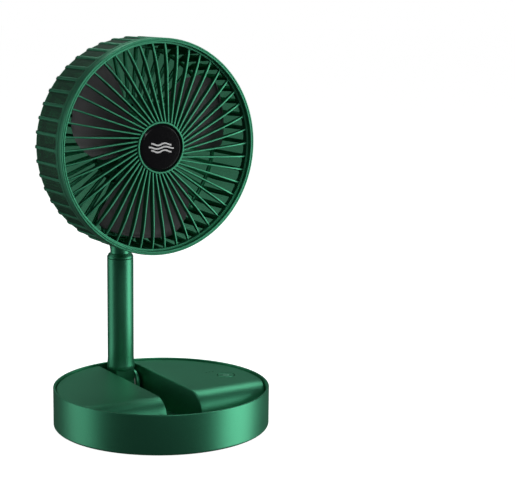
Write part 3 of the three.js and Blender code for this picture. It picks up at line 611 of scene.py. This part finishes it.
def pin(name, node, body, y, z):
    """A steel hinge pin with softly chamfered ends, a hair proud of the ears."""
    low, high = box_mm(node)
    outline = rounded(rectangle((0, low[0]), (pin_r, high[0])), 0.5, closed=False)
    piece = build(name, [lying(outline, 48, y, z)])
    settle(piece, steel, body, node)


pin("lower_pin", "hinge_pin", "base", pivot_y, pivot_z)


# -------------------- pole
# A foot with the lower knuckle under a short flared skirt, a painted tube pushed over its spigot, and a
# shouldered collar that closes the tube below the neck.
tube_low, tube_high = box_mm("pole_tube")
pole_at = (tube_low + tube_high)[:2] / 2
pole_r, tube_top = (tube_high - tube_low)[0] / 2, tube_high[2]
knuckle_r, knuckle_half, knuckle_edge = 9.2, 8.2, 0.9
skirt_r, skirt_low, skirt_bend, skirt_top, skirt_edge = 11.1, pivot_z + ear_r + 0.5, 31.0, 39.0, 0.8
skirt_t = np.linspace(0, 1, 16)
skirt_side = np.stack(
    [pole_r + (skirt_r - pole_r) * (1 - skirt_t) ** 2, skirt_bend + skirt_t * (skirt_top - skirt_bend)], 1
)
skirt_foot = [(0, skirt_low), (skirt_r, skirt_low), (skirt_r, skirt_bend - 0.1)]
skirt_cap = [(pole_r, skirt_top), (pole_r - 1.0, skirt_top + 0.05), (0, skirt_top + 0.05)]
skirt = np.concatenate([rounded(skirt_foot, [0, skirt_edge, 0], closed=False), skirt_side, skirt_cap])
knuckle_corners = rectangle((0, -knuckle_half), (knuckle_r, knuckle_half))
knuckle_outline = rounded(knuckle_corners, knuckle_edge, closed=False)
knuckle = lying(knuckle_outline, 96, pivot_y, pivot_z)
web_deep, web_corner, web_top = 8.7, 1.2, skirt_low + 0.5
web_corners = rectangle((-knuckle_half, pivot_y - web_deep), (knuckle_half, pivot_y + web_deep))
web = slab(web_corners, web_corner, pivot_z, web_top, 0, "xyz")
foot = build("pole_knuckle", [(turned(skirt, 128, pole_at), False, True), knuckle, web])
settle(foot, green_paint, "pole", "pole_foot")

bore_r = pole_r - 2.2
tube_outline = rounded(
    [(pole_r, skirt_top), (pole_r, tube_top), (bore_r, tube_top), (bore_r, skirt_top)],
    [0, 0.35, 0.2, 0],
)
tube = build("pole_tube_shell", [(turned(tube_outline, 128, pole_at), True, True)])
settle(tube, green_paint, "pole", "pole_tube")

collar_low, collar_high = box_mm("pole_collar")
neck_r, seam, collar_step, neck_wall, neck_lip = 7.9, 0.3, 1.6, 1.0, 1.2
collar_outline = rounded(
    [
        (bore_r - 0.5, collar_low[2]), (bore_r - 0.3, tube_top + seam), (pole_r, tube_top + seam),
        (pole_r, tube_top + collar_step), (neck_r + neck_lip, collar_high[2]),
        (neck_r - neck_wall, collar_high[2]), (neck_r - neck_wall, collar_low[2]),
    ],
    [0, 0, 0.3, 1.6, 0.7, 0, 0],
)
collar = build("pole_collar_ring", [(turned(collar_outline, 128, pole_at), True, True)])
settle(collar, green_paint, "pole", "pole_collar")


# -------------------- neck
# The neck rises from the collar as a round stem and swells into the rectangular floor of a fork, whose two
# ears take the head's knuckle on a second pin.
tilt_z = (sum(box_mm("tilt_pin")) / 2)[2]
fork_floor, fork_ear_r = tilt_z - knuckle_r - 1.0, 9.0


def swelling(low, high, start, end, squareness, rows, sides):
    """A stem whose section swells from a circle to a rounded rectangle.

    At the height share s the half widths go from start to end by s to the power 2.2, and a point at the
    turn t stands at half width times sign(cos t) |cos t| ^ (2 / n), and likewise with the sine, where n grows
    from 2 to `squareness`.
    """
    s = np.linspace(0, 1, rows)[:, None]
    t = np.linspace(0, 2 * math.pi, sides, endpoint=False)[None, :]
    n = 2 + (squareness - 2) * s**2
    ease = s**2.2
    wide = start + (end[0] - start) * ease
    deep = start + (end[1] - start) * ease
    x = pole_at[0] + wide * np.sign(np.cos(t)) * np.abs(np.cos(t)) ** (2 / n)
    y = pole_at[1] + deep * np.sign(np.sin(t)) * np.abs(np.sin(t)) ** (2 / n)
    return np.stack([x, y, np.broadcast_to(low + (high - low) * s, x.shape)], -1)


neck_top, stem_sides, squareness = collar_high[2], 96, 5
shoulder_size, floor_size = (ear_outer, fork_ear_r * 0.93), (ear_outer - 0.6, fork_ear_r * 0.9)
spigot = turned([(neck_r, neck_top - 3), (neck_r, neck_top + 1)], stem_sides, pole_at)
swell = swelling(neck_top + 1.5, fork_floor - 1.0, neck_r, shoulder_size, squareness, 20, stem_sides)
brow = swelling(fork_floor - 0.9, fork_floor, ear_outer - 0.2, floor_size, squareness, 3, stem_sides)
stem = np.concatenate([spigot, swell, brow[2:]])
neck = build("neck_fork_shell", [capped(stem)] + ears(fork_ear_r, fork_floor - 3.0, pivot_y, tilt_z))
settle(neck, green_paint, "pole", "neck_fork")
pin("upper_pin", "tilt_pin", "pole", pivot_y, tilt_z)


# -------------------- front grille
# Rim, hub ring and forty-six fins in one moulding. The fins stand on edge and run straight, but all pass
# the axis on one side; their outer ends bow back into the shadow behind the rim's bead.
grille_low, grille_high = box_mm("front_grille")
head_r, head_z = grille_high[0], (grille_low[2] + grille_high[2]) / 2
front_y, back_y = grille_low[1], box_mm("rear_cage")[1][1]
depth = back_y - front_y
fin_count, fin_width, fin_depth, fin_set_back, fin_offset, fin_fall = 46, 1.4, 5.0, 0.8, 7.0, 3.0
fin_end_r, fin_bow_r, fin_foot_share = head_r - 3.7, head_r - 25.0, 0.36
hub_r, hub_wall, hub_lap = 19.6, 1.5, 0.7


def to_head(shell):
    """Carries a shell from the head's own axes (across, up, forward from the back) to the frame's."""
    grid, rows_join, columns_join = shell
    placed = np.stack([grid[..., 0], back_y - grid[..., 2], head_z + grid[..., 1]], -1)
    return placed, rows_join, columns_join


def repeated(grid, count, offset=0.0):
    """Copies of a grid turned about the head's axis in even steps."""
    copies = []
    for angle in offset + np.arange(count) * 2 * math.pi / count:
        c, s = math.cos(angle), math.sin(angle)
        x, y, z = grid[..., 0], grid[..., 1], grid[..., 2]
        copies.append(np.stack([x * c - y * s, x * s + y * c, z], -1))
    return copies


def fin():
    """One fin: an upright section with a rounded front edge, carried straight out from the hub ring.

    The centre line passes the axis at `fin_offset`. Beyond `fin_bow_r` the front edge falls back by
    `fin_fall` times the square of the share of the way to the end.
    """
    inner = hub_r - hub_lap
    r = np.concatenate([[inner, (inner + fin_bow_r) / 2], np.linspace(fin_bow_r, fin_end_r, 12)])
    x = np.sqrt(r**2 - fin_offset**2)
    share = np.clip((r - fin_bow_r) / (fin_end_r - fin_bow_r), 0, 1)
    front = depth - fin_set_back - fin_fall * share**2
    foot = depth - fin_set_back - fin_depth
    half_front, half_foot = fin_width / 2, fin_width * fin_foot_share
    corners = np.array([(half_foot, 1.0), (half_front, 0.0), (-half_front, 0.0), (-half_foot, 1.0)])
    section = rounded(corners * [1, fin_depth], [0.2, 0.5, 0.5, 0.2], 4) / [1, fin_depth]
    z = front[:, None] - section[None, :, 1] * (front - foot)[:, None]
    y = np.broadcast_to(section[None, :, 0] - fin_offset, z.shape)
    return np.stack([np.broadcast_to(x[:, None], z.shape), y, z], -1)


bead_wall, bead_depth, rim_depth, ledge, groove = 2.9, 3.6, 6.0, 1.4, 0.35
groove_outer, groove_inner, groove_side = 1.05, 1.8, 0.2
rim_outline = rounded(
    [
        (head_r, depth - rim_depth), (head_r, depth), (head_r - groove_outer, depth),
        (head_r - groove_outer - groove_side, depth - groove),
        (head_r - groove_inner + groove_side, depth - groove), (head_r - groove_inner, depth),
        (head_r - bead_wall, depth), (head_r - bead_wall, depth - bead_depth),
        (head_r - bead_wall - ledge, depth - bead_depth),
        (head_r - bead_wall - ledge, depth - rim_depth),
    ],
    [0.3, 0.55, 0.3, 0.1, 0.1, 0.3, 0.5, 0.2, 0.3, 0.2],
    steps=5,
)
hub_depth, hub_floor = 5.8, 4.3
hub_outline = rounded(
    [
        (0, depth - hub_depth), (hub_r, depth - hub_depth), (hub_r, depth), (hub_r - hub_wall, depth),
        (hub_r - hub_wall, depth - hub_floor), (0, depth - hub_floor),
    ],
    [0, 0.4, 0.45, 0.35, 0.3, 0],
    closed=False,
)
fins = [to_head(capped(copy)) for copy in repeated(fin(), fin_count, math.asin(fin_offset / fin_end_r))]
rim, hub = (turned(rim_outline, 276), True, True), (turned(hub_outline, 160), False, True)
grille = build("grille_moulding", fins + [to_head(rim), to_head(hub)])
settle(grille, green_paint, "head", "front_grille")


# -------------------- front cap
# A piano-black disc clicked into the hub ring, with a bevel all round and a plain sign of three waves
# printed on it in white.
cap_r, cap_face_r, cap_bevel, cap_t, cap_sunk = hub_r - hub_wall - 0.35, 15.9, 1.3, 4.0, 0.05
cap_outline = rounded(
    [
        (0, depth - cap_t), (cap_r, depth - cap_t), (cap_r, depth - cap_bevel),
        (cap_face_r, depth - cap_sunk), (0, depth - cap_sunk),
    ],
    [0, 0.2, 0.5, 0.35, 0],
    closed=False,
)
cap = build("front_cap_disc", [to_head((turned(cap_outline, 160), False, True))])
black, black_light = (0.004, 0.004, 0.005), (0.005, 0.005, 0.006)
piano_black = finish_of("piano_black", black, black_light, 0.06, grain=0.002, depth=0.004, drift=0.03)
settle(cap, piano_black, "head", "front_cap")


def breeze(length, rise):
    """One stroke of the printed sign: a bar that waves once and a half along its length."""
    stroke, swing, ink = 1.15, 0.75, 0.06
    x = np.linspace(-length / 2, length / 2, 48)
    path = np.stack([x, rise + swing * np.sin(3 * math.pi * x / length)], 1)
    return ribbon(path, stroke, depth - ink, depth)


strokes = ((17.0, 2.6), (21.0, 0.0), (17.0, -2.6))
mark = build("cap_sign", [to_head(breeze(length, rise)) for length, rise in strokes])
white_print = finish_of("white_print", (0.80, 0.80, 0.80), (0.86, 0.86, 0.86), 0.35)
mark.data.materials.append(white_print)
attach(mark, "head")


# -------------------- rear cage
# The drum and back in one moulding: a plain band behind the rim, forty-six ribs that run along the drum,
# round the rear corner and in across the back, a hoop inside the corner, and a ring for the motor.
band_low, band_top, band_wall, slot_corner = depth - 10.6, depth - 6.25, 3.0, 2.4
rib_width, rib_depth, corner_r, rib_inner_r, rib_end_width = 2.6, 6.2, 6.5, 33.0, 1.9
hoop_r, hoop_width, back_skin = 74.0, 2.8, 3.0
motor_ring_r, motor_ring_inner = 34.5, 23.0


def band():
    """The plain band as columns round the drum.

    Half way between two ribs its lower edge is highest and level; towards each rib it comes down on a
    quarter round of `slot_corner`, so that every slot ends in round corners.
    """
    per_slot = 16
    t = np.arange(fin_count * per_slot) * 2 * math.pi / (fin_count * per_slot)
    pitch = 2 * math.pi * head_r / fin_count
    off = np.abs((t * head_r / pitch + 0.5) % 1 - 0.5) * pitch
    half_slot = (pitch - rib_width) / 2
    from_middle = pitch / 2 - off
    into_corner = np.clip(from_middle - (half_slot - slot_corner), 0, slot_corner)
    edge = band_low - slot_corner + np.sqrt(slot_corner**2 - into_corner**2)
    top_edge, foot_edge = np.array([0.17, 0.6]), 0.4
    outline = [
        (head_r, 1.0), (head_r - foot_edge, 1.0), (head_r - band_wall, 1.0), (head_r - band_wall, 0.0),
        (head_r - top_edge[1], 0.0), (head_r - top_edge[0], 0.0), (head_r, 0.0),
    ]
    lift = np.concatenate([[-foot_edge, 0, 0, 0, 0], top_edge])
    r = np.array([point[0] for point in outline])[:, None]
    share = np.array([point[1] for point in outline])[:, None]
    z = edge[None] + (band_top - edge)[None] * share + lift[:, None]
    return np.stack([r * np.cos(t), r * np.sin(t), z], -1), True, True


def rib():
    """One rib: a rounded bar that follows the drum, the rear corner and the back.

    The section keeps one face on the outer path and the other `rib_depth` inside it, and narrows on the
    way to the motor ring.
    """
    bend, run, join = np.linspace(0, math.pi / 2, 9), np.array([0.0, 0.5, 1.0]), 0.5
    start, end = band_low + 2, head_r - corner_r - join
    path = np.concatenate(
        [
            np.stack([np.full(3, head_r), start - run * (start - corner_r - join)], 1),
            np.stack([head_r - corner_r + corner_r * np.cos(bend), corner_r - corner_r * np.sin(bend)], 1),
            np.stack([end - run * (end - rib_inner_r), 0 * run], 1),
        ]
    )
    inward = np.concatenate(
        [np.tile([-1.0, 0], (3, 1)), np.stack([-np.cos(bend), np.sin(bend)], 1), np.tile([0, 1.0], (3, 1))]
    )
    share = np.clip((path[:, 0] - rib_inner_r) / (hoop_r - rib_inner_r), 0, 1)
    width = rib_end_width + (rib_width - rib_end_width) * share
    on_drum, on_bend = np.linspace(band_wall, rib_depth, 3), np.linspace(rib_depth, back_skin, 9)
    thick = np.concatenate([on_drum, on_bend, np.full(3, back_skin)])
    size = np.array([rib_width, rib_depth])
    section = rounded([(0.5, 0), (0.5, 1), (-0.5, 1), (-0.5, 0)] * size, [0.75, 0.4, 0.4, 0.75], 4) / size
    into = section[None, :, 1] * thick[:, None]
    across = section[None, :, 0] * width[:, None]
    r = path[:, :1] + inward[:, :1] * into
    z = path[:, 1:] + inward[:, 1:] * into
    return np.stack([r, across, z], -1)


hoop_low, hoop_high = 0.5, 3.4
hoop_corners = rectangle((hoop_r - hoop_width / 2, hoop_low), (hoop_r + hoop_width / 2, hoop_high))
hoop = turned(rounded(hoop_corners, 0.8), 184)
ring_corners = rectangle((motor_ring_inner, 0), (motor_ring_r, back_skin))
motor_ring = turned(rounded(ring_corners, [0.3, 0.9, 0.3, 0.3]), 128)
plate_mid, pad_half, pad_corner, pad_edge = np.array([0, -48.15]), np.array([16, 10]), 3.0, 0.6
pad_corners = rectangle(plate_mid - pad_half, plate_mid + pad_half)
mount_pad = slab(pad_corners, pad_corner, 0, back_skin, pad_edge, "xyz")
ribs = [to_head(capped(copy)) for copy in repeated(rib(), fin_count)]
rings = [to_head((hoop, True, True)), to_head((motor_ring, True, True)), to_head(mount_pad)]
cage = build("cage_moulding", [to_head(band())] + ribs + rings)
settle(cage, green_paint, "head", "rear_cage")


# -------------------- dust screen
# A fine woven net moulded into the ribs, just under their outer faces, that lines the whole drum: dark
# green threads crossing at right angles along and across the fan's axis.
screen_r, screen_z, screen_t, screen_in = head_r - 0.9, 0.8, 0.4, rib_inner_r - 0.5
screen_outline = rounded(
    [
        (screen_in, screen_z), (screen_r, screen_z), (screen_r, band_low),
        (screen_r - screen_t, band_low), (screen_r - screen_t, screen_z + screen_t),
        (screen_in, screen_z + screen_t),
    ],
    [0, corner_r - 0.9, 0, 0, corner_r - 1.3, 0],
    steps=10,
)
screen = build("dust_screen_net", [to_head((turned(screen_outline, 184), True, True))])


def weave_group():
    """Woven threads: round threads one pitch apart, along each of the object's axes.

    The threads' height is the largest of three sine waves, one for each axis.
    """
    group = bpy.data.node_groups.new("woven_net", "ShaderNodeTree")
    sockets = group.interface
    pitch_socket = sockets.new_socket("Pitch", in_out="INPUT", socket_type="NodeSocketFloat")
    pitch_socket.default_value = 0.0007
    sockets.new_socket("Thread", in_out="OUTPUT", socket_type="NodeSocketFloat")
    sockets.new_socket("Normal", in_out="OUTPUT", socket_type="NodeSocketVector")
    pitch = put(group, "NodeGroupInput", {}).outputs["Pitch"]
    place = put(group, "ShaderNodeTexCoord", {}).outputs["Object"]
    split = put(group, "ShaderNodeSeparateXYZ", {0: place})

    def reckon(operation, *values):
        """The result of one step of arithmetic."""
        return put(group, "ShaderNodeMath", dict(enumerate(values)), operation).outputs[0]

    def wave(axis):
        """A sine wave along one axis, a pitch long."""
        return reckon("SINE", reckon("MULTIPLY", reckon("DIVIDE", split.outputs[axis], pitch), 2 * math.pi))

    top = reckon("MAXIMUM", reckon("MAXIMUM", wave("X"), wave("Z")), wave("Y"))
    thread = reckon("MULTIPLY_ADD", top, 0.5, 0.5)
    bump = put(group, "ShaderNodeBump", {"Strength": 0.4, "Distance": 0.0001, "Height": thread})
    put(group, "NodeGroupOutput", {"Thread": thread, "Normal": bump.outputs["Normal"]})
    return group


net = bpy.data.materials.new("screen_net")
tree = tree_of(net)
weave = put(tree, "ShaderNodeGroup", {"Pitch": 0.0008}, group=weave_group()).outputs
net_colour = ramp_of(tree, weave["Thread"], 0.45, 0.85, (0.010, 0.045, 0.026), (0.032, 0.140, 0.080))
threads = put(
    tree, "ShaderNodeBsdfPrincipled", {"Base Color": net_colour, "Roughness": 0.65, "Normal": weave["Normal"]}
)
gaps = put(tree, "ShaderNodeBsdfTransparent", {"Color": (0.30, 0.60, 0.45, 1)})
cloth = put(tree, "ShaderNodeMixShader", {"Fac": 0.5, 1: threads.outputs[0], 2: gaps.outputs[0]})
put(tree, "ShaderNodeOutputMaterial", {"Surface": cloth.outputs[0]})
settle(screen, net, "head", "dust_screen")


# -------------------- motor housing
# A dish behind the blades holds the motor and is screwed to the cage; a round cover with two fine grooves
# closes it at the back.
dish_top, dish_r, dish_wall, dish_draft, motor_r, shaft_hole_r = 17.0, 23.0, 1.8, 0.6, 17.3, 5.5
flange_back, flange_front = 3.3, 4.8
dish_outline = rounded(
    [
        (motor_r, flange_back), (rib_inner_r, flange_back), (rib_inner_r, flange_front),
        (dish_r, flange_front), (dish_r - dish_draft, dish_top), (shaft_hole_r, dish_top),
        (shaft_hole_r, dish_top - dish_wall), (motor_r, dish_top - dish_wall),
    ],
    [0.2, 0.4, 0.4, 1.0, 2.2, 0.4, 0.2, 0.4],
)
dish = build("motor_dish", [to_head((turned(dish_outline, 128), True, True))])
settle(dish, green_paint, "head", "motor_cup")

cover_r, cover_t, cover_groove, groove_r = 22.7, 2.0, 0.4, (14.9, 7.9)
cover_grooves = [
    (radius + side * half, cover_groove * sunk)
    for radius in groove_r
    for side, half, sunk in ((1, 0.5, 0), (1, 0.2, 1), (-1, 0.2, 1), (-1, 0.5, 0))
]
cover_outline = rounded(
    [(0, cover_t), (cover_r, cover_t), (cover_r, 0), *cover_grooves, (0, 0)],
    [0, 0.2, 0.9, 0.15, 0.1, 0.1, 0.15, 0.15, 0.1, 0.1, 0.15, 0],
    closed=False,
)
cover = build("motor_cover_disc", [to_head((turned(cover_outline, 128), False, True))])
settle(cover, green_paint, "head", "motor_cover")


# -------------------- impeller
# Three broad blades moulded with a rounded hub in smoky grey plastic. Each blade climbs from the motor side
# to the grille side as it sweeps round, is thickest along its middle, and has rounded outer corners.
impeller_low, impeller_high = box_mm("impeller")
impeller_back, impeller_front = back_y - impeller_high[1], back_y - impeller_low[1]
blade_root, blade_tip, blade_t, blade_corner, corner_from = 15.0, 71.0, 1.6, 9.0, 0.82
blade_sweep, blade_rake, rake_start, rake_power = math.radians(78), math.radians(24), 0.45, 1.5
blade_count, first_blade, blade_camber = 3, math.radians(-6.5), 1.8
blade_low, blade_rise = impeller_back + 3, impeller_front - impeller_back - 6.0


def blade():
    """One blade as a closed loop round its section, carried from root to tip.

    At the share u from root to tip and v across, the angle is v times the sweep less the rake there, and
    the height rises with v less a camber of sin(pi v). The section is thickest in the middle, and over the
    last part of the length both edges draw in on an ellipse to round the corners.
    """
    to_corner = np.linspace(0, corner_from, 24)[:-1]
    round_it = corner_from + (1 - corner_from) * np.sin(np.linspace(0, math.pi / 2, 12))
    u = np.concatenate([to_corner, round_it])[:, None]
    t = np.linspace(0, 2 * math.pi, 72, endpoint=False)[None, :]
    v = (1 - np.cos(t)) / 2
    r = blade_root + (blade_tip - blade_root) * u
    corner = np.clip((u - corner_from) / (1 - corner_from), 0, 1)
    draw_in = (1 - np.sqrt(1 - corner**2)) * blade_corner / r
    span = blade_sweep - blade_rake * np.clip((u - rake_start) / (1 - rake_start), 0, 1) ** rake_power
    angle = draw_in + v * (span - 2 * draw_in)
    round_edge = 0.25 + 0.75 * np.abs(np.sin(t)) ** 0.8
    thick = blade_t * round_edge * np.sign(np.sin(t)) / 2 * (1 - 0.35 * u)
    height = blade_low + blade_rise * v - blade_camber * np.sin(math.pi * v) * (0.4 + 0.6 * u)
    return np.stack([r * np.cos(angle), r * np.sin(angle), height + thick], -1)


hub_front, shaft_r, crown_r, crown_wall, crown_t = depth - 10.8, 2.0, 17.0, 1.8, 3
impeller_hub = rounded(
    [
        (shaft_r, hub_front), (crown_r, hub_front), (crown_r, impeller_back),
        (crown_r - crown_wall, impeller_back), (crown_r - crown_wall, hub_front - crown_t),
        (shaft_r, hub_front - crown_t),
    ],
    [0.2, 4.0, 0.4, 0.3, 2.0, 0.2],
    steps=8,
)
blades = [to_head(capped(copy)) for copy in repeated(blade(), blade_count, first_blade)]
impeller = build("impeller_moulding", blades + [to_head((turned(impeller_hub, 96), True, True))], sharp=50)
smoky, smoky_light = (0.085, 0.079, 0.085), (0.102, 0.096, 0.102)
smoky_plastic = finish_of("smoky_plastic", smoky, smoky_light, 0.42, grain=0.0008, depth=0.05)
settle(impeller, smoky_plastic, "rotor", "impeller")


# -------------------- rear bracket
# A plate screwed to the back of the cage, with an arm that ends in the knuckle between the fork's ears. It
# is one moulding in the same green plastic and carries the whole head.
reach, plate_t, seat_gap, arm_at = pivot_y - back_y, 2.4, 0.3, tilt_z - head_z
plate_half, plate_corner, plate_edge = np.array([14, 8]), 2.4, 0.7
plate_corners = rectangle(plate_mid - plate_half, plate_mid + plate_half)
plate = slab(plate_corners, plate_corner, -seat_gap - plate_t, -seat_gap, plate_edge, "xyz")
spool_r, spool_edge = 8.7, 0.8
spool_outline = rounded(rectangle((0, -knuckle_half), (spool_r, knuckle_half)), spool_edge, closed=False)
spool = turned(spool_outline, 96)
knuckle = np.stack([spool[..., 2], spool[..., 0] + arm_at, spool[..., 1] - reach], -1), False, True
arm_below, arm_over, arm_top, arm_root = 3.8, 7.6, 12.0, -seat_gap - 1.2
arm_bend = -reach + knuckle_r
arm = slab(
    [
        (arm_at + arm_top, arm_root), (arm_at + arm_top, arm_bend + 3.4),
        (arm_at + arm_over, arm_bend + 1.6), (arm_at + arm_over, -reach), (arm_at - arm_below, -reach),
        (arm_at - arm_below, arm_root),
    ],
    [0.3, 1.0, 1.5, 0.5, 0.5, 0.3],
    -knuckle_half,
    knuckle_half,
    0.6,
    "yzx",
)
bracket = build("bracket_arm", [to_head(plate), to_head(arm), to_head(knuckle)])
settle(bracket, green_paint, "head", "rear_bracket")


# -------------------- screws
# Small plated screws with a domed head and a cross recess: six up through the base, three through the
# cage into the motor dish and two through the bracket.
screw_head_r, screw_shank_r = 2.4, 1.2


def cross_screw(low, head_h, top, around):
    """A screw along Z whose head starts at `low`: a dome over a shank, and the two bars of its recess."""
    bar_long, bar_half, recess = screw_head_r * 0.6, 0.28, head_h * 0.6
    outline = rounded(
        [
            (0, low),
            (screw_head_r, low),
            (screw_head_r, low + head_h),
            (screw_shank_r, low + head_h),
            (screw_shank_r, top),
            (0, top),
        ],
        [0, recess, 0.1, 0.1, 0.2, 0],
        closed=False,
    )
    middle = np.asarray(around)
    bars = [
        slab(rectangle(middle - half, middle + half), 0.1, low - 0.5, low + recess, 0, "xyz")
        for half in (np.array([bar_long, bar_half]), np.array([bar_half, bar_long]))
    ]
    return (turned(outline, 32, around), False, True), bars


base_head_h, cage_head_h = 0.7, 1.1
for node in base_screws:
    low, high = box_mm(node)
    body, recess = cross_screw(low[2], base_head_h, high[2], ((low + high) / 2)[:2])
    screw = build(f"{node}_plated", [body])
    for bar in recess:
        cut(screw, [bar])
    settle(screw, steel, "base", node)
for node in ["cage_screw_1", "cage_screw_2", "cage_screw_3", "bracket_screw_1", "bracket_screw_2"]:
    low, high = box_mm(node)
    spot = ((low[0] + high[0]) / 2, (low[2] + high[2]) / 2 - head_z)
    start, end = back_y - high[1], back_y - low[1]
    body, recess = cross_screw(start, cage_head_h, end, spot)
    screw = build(f"{node}_plated", [to_head(body)])
    for bar in recess:
        cut(screw, [to_head(bar)])
    settle(screw, steel, "head", node)


# -------------------- works inside
# The frame's own motor, shaft, nut, washers, cell, board, switch, socket and wire stay as they are and only
# take their finishes.
dark_nylon, dark_nylon_light = (0.010, 0.010, 0.011), (0.016, 0.016, 0.017)
nylon, nylon_light = (0.60, 0.59, 0.55), (0.70, 0.69, 0.65)
mask, mask_light = (0.010, 0.075, 0.030), (0.020, 0.120, 0.045)
film, film_light = (0.020, 0.085, 0.250), (0.030, 0.110, 0.300)
inner_finishes = {
    "steel": steel,
    "green_shell": green_paint,
    "dark_hinge": green_paint,
    "black_gloss": finish_of("black_nylon", dark_nylon, dark_nylon_light, 0.45),
    "rubber_foot": rubber,
    "charcoal_blade": smoky_plastic,
    "nylon": finish_of("natural_nylon", nylon, nylon_light, 0.5, grain=0.0006, depth=0.08),
    "board_green": finish_of("board_mask", mask, mask_light, 0.3, grain=0.0015),
    "cell_wrap": finish_of("cell_film", film, film_light, 0.25, grain=0.003),
    "clear_lens": frosted,
}
slot_of = {part["node"]: part["material_slot"] for part in frame["record"]["subparts"]}
for node, thing in frame["nodes"].items():
    finish = inner_finishes[slot_of[node]]
    if not thing.material_slots:
        thing.data.materials.append(finish)
    for place in thing.material_slots:
        place.material = finish
